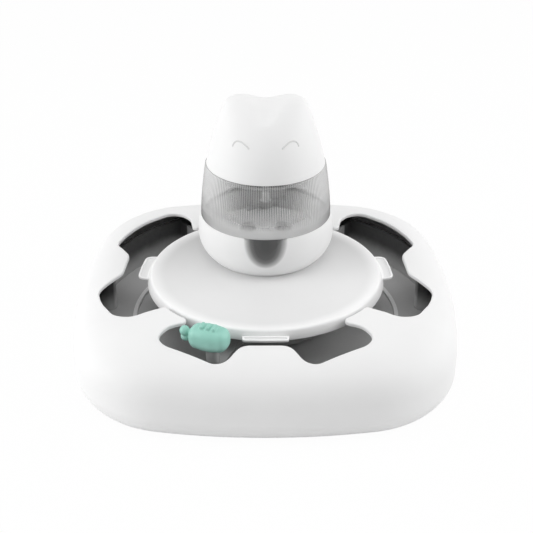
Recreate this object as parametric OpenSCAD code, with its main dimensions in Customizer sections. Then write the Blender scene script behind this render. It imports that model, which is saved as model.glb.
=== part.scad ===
// Cat treat dispenser toy: a floor base with paw openings, a lift-out treat plate that carries
// a hopper with a cat's head for a lid, and a teaser on a swinging arm that turns the dose disc.
// Millimetres, +Z up, the front is -Y, the ground is z = 0 under the middle of the base.

/* [Base] */
// Width and depth of the base
base_w = 282; // [278:1:300]
// Height of the shell's crest above the ground
crest_z = 56; // [54:0.5:64]
// Wall of the shell
shell_wall = 2.5; // [2:0.1:3]
// Radius of the gently bowed sides, seen from above
side_r = 420; // [350:10:700]
// Radius of the corners, seen from above
corner_r = 74; // [72:1:78]
// Distance of the flat crest from the side of the base
crest_inset = 36; // [34:1:40]
// Radius of the dome next to the crest
dome_r = 44; // [40:1:54]
// Slope at which the dome turns into the tighter shoulder
shoulder_deg = 35; // [30:1:40]
// How far the bottom edge tucks in
tuck_in = 6; // [5:0.5:8]
// Height of the tucked-in band
tuck_h = 14; // [12:1:16]
// Gap between the bottom edge and the ground
ground_gap = 2; // [1.5:0.1:2.5]

/* [Paw openings] */
// Outer radius of the lobes
lobe_r = 125; // [122:0.5:126]
// Radius that the tongues reach in to
tongue_r = 106; // [104:0.5:108]
// Half angle of a tongue at its root
tongue_root_deg = 16.6; // [15:0.1:18]
// Half angle of a tongue at its tip
tongue_tip_deg = 7.5; // [6.5:0.1:8.5]
// Half angle of the front opening
front_half_deg = 39.6; // [38.5:0.1:40]
// How far the side tongues lie behind the middle of the base
side_back_deg = 5; // [3:0.5:6]
// Angle from a side tongue to the front end of its opening
side_front_deg = 40.7; // [39:0.1:41]
// Angle from a side tongue to the back end of its opening
side_rear_deg = 49.5; // [47:0.1:51]
// How far the ends of the openings lean in towards the plate
end_lean_deg = 5; // [2:0.5:7]
// Fillet at the ends of the openings
end_fillet = 13; // [8:0.5:14]
// Fillet at the roots of the tongues
root_fillet = 11; // [8:0.5:12]
// Fillet at the tips of the tongues
tip_fillet = 8; // [5:0.5:9]

/* [Inside of the base] */
// Thickness of the bottom pan
pan_t = 3; // [2.5:0.1:4]
// Height of the channel's floor
floor_z = 18; // [16:0.5:20]
// Wall of the channel bowl
bowl_wall = 2.2; // [1.8:0.1:2.6]
// Inner radius of the channel's outer wall
bowl_r = 126.5; // [126.5:0.1:127.5]
// Radius of the columns under the tongues
column_r = 6.5; // [5:0.5:8]
// Middle radius of the guide rail
rail_r = 99; // [98:0.5:101]
// Width of the guide rail
rail_w = 3; // [2.5:0.1:4]
// Height of the guide rail
rail_h = 2; // [1.5:0.1:2.5]
// Radius of the rubber feet
foot_pad_r = 9; // [7:0.5:11]
// Radius of the spindle
spindle_r = 4; // [3:0.1:5]
// Screw shank radius
screw_r = 1.5; // [1.2:0.1:1.8]
// Screw head radius
screw_head_r = 3; // [2.6:0.1:3.4]

/* [Treat plate] */
// Radius of the plate at the bottom of its rim
plate_r = 88; // [86:0.5:88.5]
// Height of the plate's rim
rim_h = 8; // [7:0.5:9]
// Draft of the rim, in towards its top
rim_draft = 0.8; // [0.3:0.1:1.2]
// Depth of the plate's floor below the rim's top
plate_dish = 3; // [2:0.1:3.4]
// Thickness of the plate's floor
plate_t = 2.5; // [2:0.1:3]
// Radius that the finger tabs reach out to
tab_r = 94.4; // [93:0.2:96]
// How far the side tabs lie behind the middle of the plate
tab_back_deg = 7; // [5:0.5:8]
// Length of a finger tab along its outer edge
tab_len = 33; // [28:0.5:36]
// Gap round the plate
plate_gap = 1; // [0.6:0.1:1.5]

/* [Dispenser] */
// Radius of the cup's foot on the plate
cup_foot_r = 40.5; // [39:0.5:42]
// Radius of the cup's widest girth
cup_belly_r = 51.3; // [50.5:0.1:52]
// Height of the widest girth above the plate's floor
belly_h = 22; // [20:0.5:24]
// Height of the cup
cup_h = 34.7; // [34:0.1:37]
// Radius of the cup's rim
cup_rim_r = 49.2; // [48.8:0.1:50]
// Wall of the cup
cup_wall = 2.5; // [2:0.1:2.8]
// Height of the clear hopper
hopper_h = 40.5; // [36:0.5:50]
// Radius of the hopper at its foot
hopper_foot_r = 48.4; // [48:0.1:48.8]
// Radius of the hopper at its top
hopper_top_r = 43.7; // [43:0.1:45]
// Wall of the hopper
hopper_wall = 2; // [1.6:0.1:2.4]
// Width of the spout
spout_w = 25; // [22:0.5:26]
// Height of the spout's lowest edge above the plate's floor
spout_low = 11; // [10.5:0.1:12]

/* [Head] */
// Height of the head up to its ears
head_h = 52.4; // [48:0.2:60]
// Radius of the head at its foot
head_foot_r = 44.3; // [44:0.1:45.5]
// Wall of the head
head_wall = 2.4; // [2:0.1:3]
// Distance of each ear from the middle
ear_x = 19.5; // [17:0.5:21]
// Radius of the ears
ear_r = 12; // [10:0.5:13]
// Depth of the hollow between the ears
ear_hollow = 2.6; // [1.5:0.1:4]

/* [Dosing] */
// Module of the gears
gear_module = 1.5; // [1.5:0.01:1.52]
// Teeth of the drive gear on the arm
drive_teeth = 36; // [36]
// Teeth of the pinion
pinion_teeth = 12; // [12]
// Width of the gears
gear_t = 4; // [3:0.1:4.4]
// Thickness of the dose disc
disc_t = 6; // [5.5:0.1:6.4]
// Radius of the dose disc
disc_r = 37; // [36:0.5:38]
// Radius of the circle of pockets and holes
pocket_pcr = 29; // [28:0.2:29.4]
// Radius of a pocket
pocket_r = 6; // [5:0.1:6.6]
// Radius of the dose shaft
shaft_r = 3; // [2.5:0.1:3.4]

/* [Teaser] */
// Angle of the arm, left of the front
arm_deg = 20; // [19:0.2:21]
// Swing of the arm towards the tongue
swing_in = 4; // [4]
// Swing of the arm towards the end of the opening
swing_out = 5; // [5]
// Radius of the circle that the toy stands on
toy_pcr = 105; // [104:0.2:106]
// Length of the toy's body
toy_len = 28; // [25:0.5:29]
// Thickness of the toy's body
toy_d = 19; // [17:0.5:19.5]
// Height of the toy's middle above the ground
toy_z = 57.6; // [57.6:0.1:60]
// How far the toy's middle lies from its stem, towards its tail
toy_shift = 1.8; // [0:0.1:2.5]
// Rounding of the toy's ends
toy_round = 7.5; // [5:0.5:8]
// Outer radius of the clear stem
stem_r = 4.7; // [4:0.1:5]
// Radius of the drum that carries the arm
drum_r = 51; // [49:0.5:52]
// Radius of the arm's roller
roller_r = 5; // [4:0.1:5.5]
// Length of the arm's roller
roller_len = 5; // [4:0.1:6]

/* [Fits] */
// Running clearance of shafts in bushes, on the radius
run_fit = 0.05; // [0.02:0.01:0.1]
// Clearance between faces that pass each other
face_gap = 0.3; // [0.3:0.05:0.5]
// Play between the teeth of the gears
backlash = 0.35; // [0.3:0.05:0.5]

/* [Hidden] */
$fn = 96;
white = "#f4f4f2";
charcoal = "#3a3b3d";
grey = "#9a9c9e";
mint = "#96d8c4";
steel = "#b8bcc0";
clear = [0.85, 0.88, 0.9, 0.45];

// Small amount by which a cut runs past a face
eps = 0.5;

// Levels, from the ground up
pan_z = ground_gap;
pan_top = pan_z + pan_t;
floor_t = 2;
plate_z = crest_z - rim_h;
plate_top = crest_z - plate_dish;
plate_under = plate_top - plate_t;
cup_top = plate_top + cup_h;
hopper_top = cup_top + hopper_h;
head_top = hopper_top + head_h;

// Plan of the base: four bowed sides joined by four corner arcs
side_k = side_r - base_w / 2;
corner_c = (sqrt(2 * pow(side_r - corner_r, 2) - side_k * side_k) - side_k) / 2;
side_half = atan2(corner_c, corner_c + side_k);

// Section of the shell: dome, shoulder, upright wall and tucked-in foot
shoulder_s = crest_inset - dome_r * sin(shoulder_deg);
shoulder_z = crest_z - dome_r * (1 - cos(shoulder_deg));
shoulder_r = shoulder_s / (1 - sin(shoulder_deg));
shoulder_mid = [shoulder_r, shoulder_z - shoulder_r * cos(shoulder_deg)];
tuck_r = (tuck_h * tuck_h + tuck_in * tuck_in) / (2 * tuck_in);
tuck_deg = asin(tuck_h / tuck_r);
section_end = corner_r - 1;
section_steps = 5;

// Openings, from the right round to the front: middle angle, angles to the end before it and after it,
// and the lean of those ends
openings = [
    [side_back_deg, side_front_deg, side_rear_deg, -1, end_lean_deg],
    [180 - side_back_deg, side_rear_deg, side_front_deg, end_lean_deg, -1],
    [270, front_half_deg, front_half_deg, end_lean_deg, end_lean_deg]
];
// Finger tabs of the plate
tab_az = [270, 180 - tab_back_deg, tab_back_deg];
hole_r = plate_r + plate_gap;
land_margin = 2.5;
// Lands between the openings, each after its opening: first angle and last angle
lands = [
    [side_back_deg + side_rear_deg, 180 - side_back_deg - side_rear_deg],
    [180 - side_back_deg + side_front_deg, 270 - front_half_deg],
    [270 + front_half_deg, 360 + side_back_deg - side_front_deg]
];
ledge_w = 7;
ledge_t = 2.5;

// Posts for the pan's screws, and the feet
post_r = 4.5;
post_xy = base_w / 2 - 42;
foot_xy = [base_w / 2 - 39, base_w / 2 - 69];
foot_pad_h = 3.2;
pan_inset = tuck_in + shell_wall + 1.5;
boss_r = 9;
// Top of the bowl's wall, just under the dome at the middle of a side
bowl_inset = base_w / 2 - bowl_r - bowl_wall;
bowl_top = shoulder_z - shoulder_r * cos(shoulder_deg) - 0.6
    + sqrt(pow(shoulder_r - shell_wall, 2) - pow(shoulder_r - bowl_inset, 2));
end_wall_deg = 2;

// Arm, gears and dosing
arm_az = 270 - arm_deg;
gear_z = plate_under - 8.5;
drum_top_t = 2.5;
washer_t = 1.7;
rotor_z = floor_z + washer_t + face_gap;
bush_t = 2.5;
hub_r = spindle_r + bush_t + 4;
gear_seat_h = 1;
pressure_deg = 25;
feeder_y = gear_module * (drive_teeth + pinion_teeth) / 2;
drive_pitch_r = gear_module * drive_teeth / 2;
pinion_z = gear_z + gear_seat_h + face_gap;
roller_z = floor_z + rail_h + roller_r;
arm_w = 12;
arm_t = 5;
arm_z = roller_z + roller_r + 1;
axle_r = 1.5;
bracket_t = 3;
stem_bore_r = stem_r - 1.7;
toy_socket = 6;
stem_top = toy_z - toy_d / 2 + toy_socket;
dose_ratio = drive_teeth / pinion_teeth;

// Stack inside the cup, from its rim down
spigot_h = 2;
flange_t = 1.5;
flange_top = cup_top - spigot_h;
disc_top = flange_top - flange_t - face_gap;
disc_z = disc_top - disc_t;
deck_t = 2;
deck_top = disc_z - face_gap;
deck_z = deck_top - deck_t;
rim_in_r = cup_rim_r - cup_wall - 0.2;
ledge_in_r = rim_in_r - 4;
deck_r = rim_in_r - 1;
hump_h = 5.5;
cup_boss_r = 4;
cup_screw_pcr = 30;
cup_screw_az = [20, 160, 90];
// Pocket places at rest: each lies over the outlet at one end of the swing
pocket_az = [270 - dose_ratio * swing_out, 270 + dose_ratio * swing_in];
inlet_az = [270 - dose_ratio * (swing_in + swing_out), 270 + dose_ratio * (swing_in + swing_out)];
chute_tilt = 15;
chute_wall = 1.3;
chute_gap = 0.2;
hood_r = rim_in_r + 0.2;
hood_t = 1.5;
spout_mid = plate_top + spout_low + spout_w / 2;
// Scoop round the spout: a leaning round cut, as deep at the cup's rim as scoop_d
scoop_r = 27;
scoop_d = 2.3;

// Spring clip on the spindle, gear screws and pan screws
clip_t = 1;
clip_z = gear_z + gear_seat_h + gear_t + face_gap;
gear_screw_pcr = drive_pitch_r - 9;
pan_screw_len = 12;

// Lid
collar_gap = 0.55;
collar_wall = 2;
collar_down = 6;
collar_up = 2.6;
seal_h = 2;

// Points of an arc: centre, radius, first angle, last angle and number of steps
function arc(c, r, a, b, n) = [for (i = [0:n]) c + polar(r, a + (b - a) * i / n)];

// Point at a radius and an angle
function polar(r, a) = r * [cos(a), sin(a)];

// Arc that rounds the corner q between p and s with radius r
function fillet(p, q, s, r, n = 6) =
    let (u = (p - q) / norm(p - q), v = (s - q) / norm(s - q))
    let (half = acos(u * v) / 2, d = r / tan(half), c = q + (u + v) / norm(u + v) * r / sin(half))
    let (e = q + u * d - c, f = q + v * d - c, a = atan2(e.y, e.x), turn = atan2(f.y, f.x) - a)
    let (sweep = turn > 180 ? turn - 360 : turn < -180 ? turn + 360 : turn)
    arc(c, r, a, a + sweep, n);

// Outer edge of the shell's section as [inset, height], offset inwards by t
function section_edge(t) = concat(
    [[section_end, crest_z - t]],
    arc([crest_inset, crest_z - dome_r], dome_r - t, 90, 90 + shoulder_deg, section_steps),
    slice(arc(shoulder_mid, shoulder_r - t, 90 + shoulder_deg, 180, section_steps), 1),
    arc([tuck_r, ground_gap + tuck_h], tuck_r - t, 180, 180 + tuck_deg, section_steps)
);

function reverse(list) = [for (i = [len(list) - 1:-1:0]) list[i]];

// List without its first n members
function slice(list, n) = [for (i = [n:len(list) - 1]) list[i]];

// Outline of the base, offset inwards by s: a bowed side and a corner, four times over
function plan(s) = [for (q = [0:3]) each [for (p = concat(
    slice(arc([0, -side_k], side_r - s, 90 + side_half, 90 - side_half, 7), 1),
    slice(arc([corner_c, corner_c], corner_r - s, 90 - side_half, side_half, 9), 1)
)) [p.x * cos(90 * q) + p.y * sin(90 * q), p.y * cos(90 * q) - p.x * sin(90 * q)]]];

// Sweeps a closed section, given as [inset, height], round the plan of the base
module round_the_base(section) {
    rings = [for (p = section) [for (q = plan(p.x)) [q.x, q.y, p.y]]];
    n = len(rings[0]);
    m = len(section);
    polyhedron(
        points = [for (r = rings) each r],
        faces = [for (i = [0:m - 1], j = [0:n - 1]) let (k = (i + 1) % m, l = (j + 1) % n)
            each [[i * n + j, k * n + j, k * n + l], [i * n + j, k * n + l, i * n + l]]]
    );
}

// One end of a paw opening from the plate out to the lobe, at angle a, and turning by the sign of d
function opening_end(a, lean, d) =
    let (start = polar(hole_r, a + d * lean), waist = polar((hole_r + lobe_r) / 2 - 3, a))
    let (corner = polar(lobe_r, a), lobe = polar(lobe_r, a + d * 12))
    concat([start], fillet(start, waist, corner, end_fillet, 3), fillet(waist, corner, lobe, end_fillet));

// One side of a tongue from the lobe to the tongue's tip, d to one side of the middle angle
function tongue_side(mid, d) =
    let (root = polar(lobe_r, mid + d * tongue_root_deg), tip = polar(tongue_r, mid + d * tongue_tip_deg))
    let (lobe = polar(lobe_r, mid + d * (tongue_root_deg + 12)))
    concat(fillet(lobe, root, tip, root_fillet), fillet(root, tip, polar(tongue_r, mid), tip_fillet, 4));

// Outline of one paw opening: two lobes with a tongue between them
function opening_outline(o) =
    let (a = o[0] - o[1], b = o[0] + o[2], turn = 13)
    concat(
        opening_end(a, o[3], 1),
        arc([0, 0], lobe_r, a + turn, o[0] - tongue_root_deg - 6, 4),
        tongue_side(o[0], -1),
        [polar(tongue_r, o[0])],
        reverse(tongue_side(o[0], 1)),
        arc([0, 0], lobe_r, o[0] + tongue_root_deg + 6, b - turn, 4),
        reverse(opening_end(b, o[4], -1))
    );

// Outline of the plate's hole and the three openings that run into it, as one closed line
function hole_outline() = [for (i = [0:2]) each concat(
    opening_outline(openings[i]),
    arc([0, 0], hole_r, lands[i][0] - openings[i][4] + 1, lands[i][1] + openings[(i + 1) % 3][3] - 1,
        ceil((lands[i][1] - lands[i][0]) / 6))
)];

// Places that come four times, once in each corner
module four_corners(xy) {
    for (x = [-1, 1], y = [-1, 1])
        translate([x * xy.x, y * xy.y, 0])
            children();
}

module tube(r_out, r_in, h) {
    difference() {
        cylinder(r = r_out, h = h);
        translate([0, 0, -eps])
            cylinder(r = r_in, h = h + 2 * eps);
    }
}

// Pan-head screw, its head's underside at z = 0 and its shank upwards
module screw(length, head_h = 1.8) {
    translate([0, 0, -head_h])
        cylinder(r = screw_head_r, h = head_h);
    cylinder(r = screw_r, h = length);
}

module base_shell() {
    color(white)
        difference() {
            union() {
                difference() {
                    round_the_base(concat(section_edge(0), reverse(section_edge(shell_wall))));
                    translate([0, 0, plate_z])
                        linear_extrude(crest_z)
                            polygon(hole_outline());
                }
                for (l = lands)
                    rotate(l[0] + land_margin)
                        rotate_extrude(angle = l[1] - l[0] - 2 * land_margin)
                            plate_ledge();
                four_corners([post_xy, post_xy])
                    translate([0, 0, pan_top])
                        cylinder(r = post_r, h = crest_z - shell_wall - pan_top - 1.2);
            }
            four_corners([post_xy, post_xy])
                translate([0, 0, pan_top - eps])
                    cylinder(r = screw_r, h = 14);
        }
}

// Section of the ledge that carries the plate on each land
module plate_ledge() {
    leg_r = hole_r + 0.8;
    translate([hole_r - ledge_w, plate_z - ledge_t])
        square([leg_r - hole_r + ledge_w + shell_wall, ledge_t]);
    translate([leg_r, plate_z - ledge_t])
        square([shell_wall, crest_z - shell_wall / 2 - plate_z + ledge_t]);
}

module base_pan() {
    color(white)
        difference() {
            union() {
                translate([0, 0, pan_z])
                    linear_extrude(pan_t)
                        polygon(plan(pan_inset));
                translate([0, 0, pan_z])
                    cylinder(r = boss_r, h = floor_z - floor_t - pan_z);
            }
            translate([0, 0, pan_z + 1])
                cylinder(r = spindle_r, h = floor_z);
            four_corners(foot_xy)
                translate([0, 0, pan_z - eps])
                    cylinder(r = foot_pad_r, h = foot_pad_h - pan_z + eps);
            four_corners([post_xy, post_xy]) {
                translate([0, 0, pan_z - eps])
                    cylinder(r = screw_r + 0.2, h = pan_t + 2 * eps);
                translate([0, 0, pan_z - eps])
                    cylinder(r = screw_head_r + 0.3, h = 1.8 + eps);
            }
        }
}

module rubber_feet() {
    color("#4a4a4c")
        four_corners(foot_xy) {
            cylinder(r1 = foot_pad_r - 1, r2 = foot_pad_r, h = 1);
            translate([0, 0, 1])
                cylinder(r = foot_pad_r, h = foot_pad_h - 1);
        }
}

module pan_screws() {
    color(steel)
        four_corners([post_xy, post_xy])
            translate([0, 0, pan_z + 1.8])
                screw(pan_screw_len, 1.6);
}

module channel_bowl() {
    outer_r = bowl_r + bowl_wall;
    color(charcoal)
        difference() {
            union() {
                translate([0, 0, floor_z - floor_t])
                    cylinder(r = outer_r - 0.5, h = floor_t);
                translate([0, 0, pan_top])
                    tube(outer_r, bowl_r, bowl_top - pan_top);
                for (o = openings)
                    rotate(o[0])
                        translate([bowl_r + 1 - column_r, 0, floor_z - 1])
                            cylinder(r = column_r, h = bowl_top - floor_z);
                for (az = [lands[0][0] + end_wall_deg, lands[0][1] - end_wall_deg])
                    rotate(az)
                        translate([drum_r + 2, -bowl_wall / 2, floor_z - 1])
                            cube([bowl_r - drum_r - 1, bowl_wall, plate_z - ledge_t - floor_z]);
            }
            cylinder(r = spindle_r + 0.2, h = crest_z);
        }
}

module track_rail() {
    first = lands[0][1] + 1;
    last = 360 + lands[0][0] - 1;
    color("#c4c6c8")
        rotate(first)
            rotate_extrude(angle = last - first)
                translate([rail_r - rail_w / 2, floor_z])
                    square([rail_w, rail_h]);
}

module spindle() {
    color(steel)
        difference() {
            translate([0, 0, pan_z + 1])
                cylinder(r = spindle_r, h = plate_under - 1.5 - pan_z - 1);
            translate([0, 0, clip_z])
                tube(spindle_r + 1, spindle_r - 0.8, clip_t);
        }
}

module thrust_washer() {
    color("#d8d2c0")
        translate([0, 0, floor_z])
            tube(hub_r + 2, spindle_r + 0.2, washer_t);
}

module spindle_clip() {
    color(steel)
        translate([0, 0, clip_z])
            difference() {
                tube(spindle_r + 3, spindle_r - 0.8, clip_t);
                translate([0, -1.5, -eps])
                    cube([spindle_r + 4, 3, clip_t + 2 * eps]);
            }
}

// Things on the arm are drawn along +X and turned to the arm's angle
module on_arm() {
    rotate(arm_az)
        children();
}

module arm_rotor() {
    drum_h = gear_z - rotor_z;
    color(charcoal)
        difference() {
            union() {
                translate([0, 0, rotor_z])
                    tube(drum_r, drum_r - drum_top_t, drum_h);
                translate([0, 0, gear_z - drum_top_t])
                    cylinder(r = drum_r, h = drum_top_t);
                translate([0, 0, rotor_z])
                    cylinder(r = hub_r, h = drum_h + gear_seat_h);
                on_arm()
                    arm_beam();
            }
            translate([0, 0, rotor_z - eps])
                cylinder(r = spindle_r + bush_t, h = drum_h + gear_seat_h + 2 * eps);
            on_arm()
                translate([rail_r - roller_len / 2 - bracket_t - eps, 0, roller_z])
                    rotate([0, 90, 0])
                        cylinder(r = axle_r, h = bracket_t + 2 * eps - face_gap);
            for (i = [0:2])
                rotate(120 * i)
                    translate([gear_screw_pcr, 0, gear_z - drum_top_t - eps])
                        cylinder(r = screw_r, h = drum_top_t + 2 * eps);
        }
}

// Beam from the drum out to the stem, with the roller's bracket under it and the stem's spigot on it
module arm_beam() {
    start = drum_r - drum_top_t / 2;
    translate([start, -arm_w / 2, arm_z])
        cube([toy_pcr - start, arm_w, arm_t]);
    translate([toy_pcr, 0, arm_z])
        cylinder(r = arm_w / 2, h = arm_t);
    translate([rail_r - roller_len / 2 - bracket_t - face_gap, -arm_w / 2, roller_z - 3])
        cube([bracket_t, arm_w, arm_z - roller_z + 3 + eps]);
    translate([toy_pcr, 0, arm_z + arm_t - eps])
        cylinder(r = stem_bore_r, h = 4 + eps);
}

module rotor_bush() {
    color("#c8a060")
        translate([0, 0, rotor_z])
            tube(spindle_r + bush_t, spindle_r + run_fit, gear_z - rotor_z + gear_seat_h);
}

// Angle of an involute of base radius rb at radius r, in degrees
function involute(rb, r) = let (a = acos(rb / r)) tan(a) * 180 / PI - a;

// Outline of a spur gear with a tooth in the middle of +X
function gear_outline(teeth) =
    let (rp = gear_module * teeth / 2, rb = rp * cos(pressure_deg), n = 5)
    let (tip = rp + 0.9 * gear_module, root = rp - 1.15 * gear_module, low = max(rb, root))
    let (half = 90 / teeth - backlash / 4 / rp * 180 / PI + involute(rb, rp))
    let (flank = [for (i = [0:n]) let (r = low + (tip - low) * i / n) [r, half - involute(rb, r)]])
    [for (k = [0:teeth - 1]) let (mid = 360 * k / teeth) each concat(
        [polar(root, mid - flank[0][1])],
        [for (f = flank) polar(f[0], mid - f[1])],
        [for (f = reverse(flank)) polar(f[0], mid + f[1])],
        [polar(root, mid + flank[0][1])]
    )];

module drive_gear() {
    color("#e6e2d6")
        translate([0, 0, gear_z])
            difference() {
                linear_extrude(gear_seat_h + gear_t)
                    rotate(90)
                        polygon(gear_outline(drive_teeth));
                translate([0, 0, -eps])
                    cylinder(r = hub_r, h = gear_seat_h + eps);
                translate([0, 0, -eps])
                    cylinder(r = spindle_r + 0.5, h = gear_t + gear_seat_h + 2 * eps);
                for (i = [0:2])
                    rotate(120 * i)
                        translate([gear_screw_pcr, 0, -eps])
                            cylinder(r = screw_r, h = gear_t + gear_seat_h + 2 * eps);
                for (i = [0:2])
                    rotate(120 * i)
                        translate([gear_screw_pcr, 0, gear_seat_h + gear_t - 1.8])
                            cylinder(r = screw_head_r, h = 1.8 + eps);
            }
}

module gear_screws() {
    color(steel)
        for (i = [0:2])
            rotate(120 * i)
                translate([gear_screw_pcr, 0, gear_z + gear_seat_h + gear_t - 1.8])
                    rotate([180, 0, 0])
                        screw(gear_seat_h + gear_t + drum_top_t - 2.2, 1.6);
}

module roller_axle() {
    start = rail_r - roller_len / 2 - bracket_t - face_gap;
    color(steel)
        on_arm()
            translate([start, 0, roller_z])
                rotate([0, 90, 0]) {
                    cylinder(r = axle_r, h = bracket_t + 2 * face_gap + roller_len + 1.2);
                    translate([0, 0, bracket_t + 2 * face_gap + roller_len])
                        cylinder(r = axle_r + 1, h = 1.2);
                }
}

module arm_roller() {
    color("#d8d2c0")
        on_arm()
            translate([rail_r - roller_len / 2, 0, roller_z])
                rotate([0, 90, 0])
                    tube(roller_r - face_gap, axle_r + run_fit, roller_len);
}

module teaser_stem() {
    color(clear)
        on_arm()
            translate([toy_pcr, 0, arm_z + arm_t])
                tube(stem_r, stem_bore_r, stem_top - arm_z - arm_t);
}

// Half outline of the toy's barrel body: [radius, place along its length]
function toy_profile() = let (r = toy_d / 2, l = toy_len / 2, b = 0.7) concat(
    [[0, -l]],
    arc([r - b - toy_round, -l + toy_round], toy_round, -90, 0, 7),
    [[r, -l / 5], [r, l / 5]],
    arc([r - b - toy_round, l - toy_round], toy_round, 0, 90, 7),
    [[0, l]]
);

module teaser_toy() {
    tail_r = 3.6;
    color(mint)
        on_arm()
            translate([toy_pcr, -toy_shift, toy_z])
                union() {
                    difference() {
                        rotate([90, 0, 0])
                            rotate_extrude()
                                polygon(toy_profile());
                        translate([0, toy_shift, -toy_d])
                            rotate(25)
                                cylinder(r = stem_r, h = toy_d / 2 + toy_socket);
                    }
                    translate([0, -toy_len / 2 + 1, 0])
                        rotate([90, 0, 0])
                            cylinder(r = 2.2, h = 3.5);
                    for (side = [-1, 1])
                        translate([side * 0.8, -toy_len / 2 - 3.4, side * 2.6])
                            sphere(r = tail_r);
                    for (i = [-1:1])
                        translate([-3.5, i * 4, toy_d / 2 - 0.6])
                            rotate([0, 90, 0])
                                cylinder(r = 1.1, h = 8);
                }
}

// Outline of a finger tab along +X
function tab_outline() =
    let (root = plate_r - 3, half = tab_len / 2, flare = 5)
    concat(
        [[root, half + flare]],
        fillet([root, half + flare], [plate_r + 1, half + flare - 1], [tab_r, half], 2, 3),
        fillet([plate_r + 1, half + flare - 1], [tab_r, half], [tab_r + 1, 0], 4, 5),
        [[tab_r + 1, 0]],
        fillet([tab_r + 1, 0], [tab_r, -half], [plate_r + 1, 1 - half - flare], 4, 5),
        fillet([tab_r, -half], [plate_r + 1, 1 - half - flare], [root, -half - flare], 2, 3),
        [[root, -half - flare]]
    );

module treat_plate() {
    rim_w = 3.2;
    wall_r = plate_r - 2.5;
    tab_t = 2;
    tab_z = plate_z + rim_h * 0.3;
    color(white)
        difference() {
            union() {
                rotate_extrude()
                    polygon(concat(
                        [[0, plate_under], [wall_r - 2, plate_under], [wall_r, plate_z]],
                        [[plate_r, plate_z], [plate_r, plate_z + rim_h / 2]],
                        arc([plate_r - rim_draft - 1, crest_z - 1], 1, 20, 90, 4),
                        arc([plate_r - rim_w, crest_z - 0.6], 0.6, 90, 150, 2),
                        [[plate_r - rim_w - 3, plate_top + 0.4]],
                        [[plate_r - rim_w - 5, plate_top], [0, plate_top]]
                    ));
                for (az = tab_az)
                    rotate(az)
                        translate([0, 0, tab_z])
                            linear_extrude(tab_t)
                                polygon(tab_outline());
                translate([0, feeder_y, pinion_z + gear_t + 0.6])
                    cylinder(r = shaft_r + 4.5, h = plate_under - pinion_z - gear_t);
            }
            translate([0, feeder_y, pinion_z])
                cylinder(r = shaft_r + 2, h = crest_z);
            at_feeder(cup_screw_pcr, cup_screw_az)
                translate([0, 0, plate_under - eps])
                    cylinder(r = screw_r + 0.2, h = plate_t + 2 * eps);
        }
}

// Places on a circle round the dispenser's middle
module at_feeder(r, angles) {
    for (az = angles)
        translate([0, feeder_y, 0])
            rotate(az)
                translate([r, 0, 0])
                    children();
}

module shaft_bush() {
    color("#c8a060")
        translate([0, feeder_y, pinion_z + gear_t + 0.6])
            tube(shaft_r + 2, shaft_r + run_fit, plate_top - pinion_z - gear_t - 0.6);
}

// Radius of the cup's outside at height h above its foot
function cup_r(h) = h < belly_h
    ? cup_belly_r - (cup_belly_r - cup_foot_r) * pow((belly_h - h) / belly_h, 2.4)
    : cup_belly_r - (cup_belly_r - cup_rim_r) * pow((h - belly_h) / (cup_h - belly_h), 2);

// Side of the cup from its foot to its rim, moved in by t
function cup_side(t) = [for (i = [0:14]) let (h = cup_h * i / 14) [cup_r(h) - t, plate_top + h]];

// Spout opening, drawn as width and height: round below and open to the cup's rim, made smaller by t
module spout_outline(t) {
    r = spout_w / 2 - t;
    translate([0, spout_mid])
        circle(r = r);
    translate([-r, spout_mid])
        square([2 * r, cup_top + eps - spout_mid]);
}

// A flat outline, drawn as width and height, driven through the front of the cup
module through_front() {
    translate([0, -ledge_in_r + 6, 0])
        rotate([90, 0, 0])
            linear_extrude(cup_belly_r)
                children();
}

module dispenser_cup() {
    cup_floor = 2.5;
    color(white)
        translate([0, feeder_y, 0])
            difference() {
                union() {
                    rotate_extrude()
                        polygon(concat(
                            [[0, plate_top]],
                            cup_side(0),
                            reverse(cup_inside()),
                            [[0, plate_top + cup_floor]]
                        ));
                    translate([0, 0, plate_top])
                        cylinder(r = shaft_r + 4, h = cup_floor + 3);
                    for (az = cup_screw_az)
                        rotate(az)
                            translate([cup_screw_pcr, 0, plate_top])
                                cylinder(r = cup_boss_r, h = 10);
                }
                translate([0, 0, plate_top - eps])
                    cylinder(r = shaft_r + 0.4, h = cup_h);
                for (az = cup_screw_az)
                    rotate(az)
                        translate([cup_screw_pcr, 0, plate_top - eps])
                            cylinder(r = screw_r, h = 9);
                through_front()
                    spout_outline(0);
                translate([0, -cup_r(spout_low) - scoop_r, plate_top + spout_low])
                    rotate([-atan(scoop_d / (cup_h - spout_low)), 0, 0])
                        translate([0, 0, -2])
                            cylinder(r = scoop_r, h = cup_h);
            }
}

// Inside of the cup from its rim down: rim seat, ledge for the deck, then the wall
function cup_inside() = let (ledge_h = deck_z - plate_top, n = 8) concat(
    [for (i = [0:n]) let (h = 2.5 + (ledge_h - 7) * i / n) [cup_r(h + 0.5) - cup_wall, plate_top + h]],
    [[ledge_in_r, plate_top + ledge_h - 2], [ledge_in_r, plate_top + ledge_h]],
    [[rim_in_r, plate_top + ledge_h], [rim_in_r, cup_top]]
);

module cup_screws() {
    color(steel)
        at_feeder(cup_screw_pcr, cup_screw_az)
            translate([0, 0, plate_under])
                screw(plate_t + 8, 1.6);
}

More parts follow.
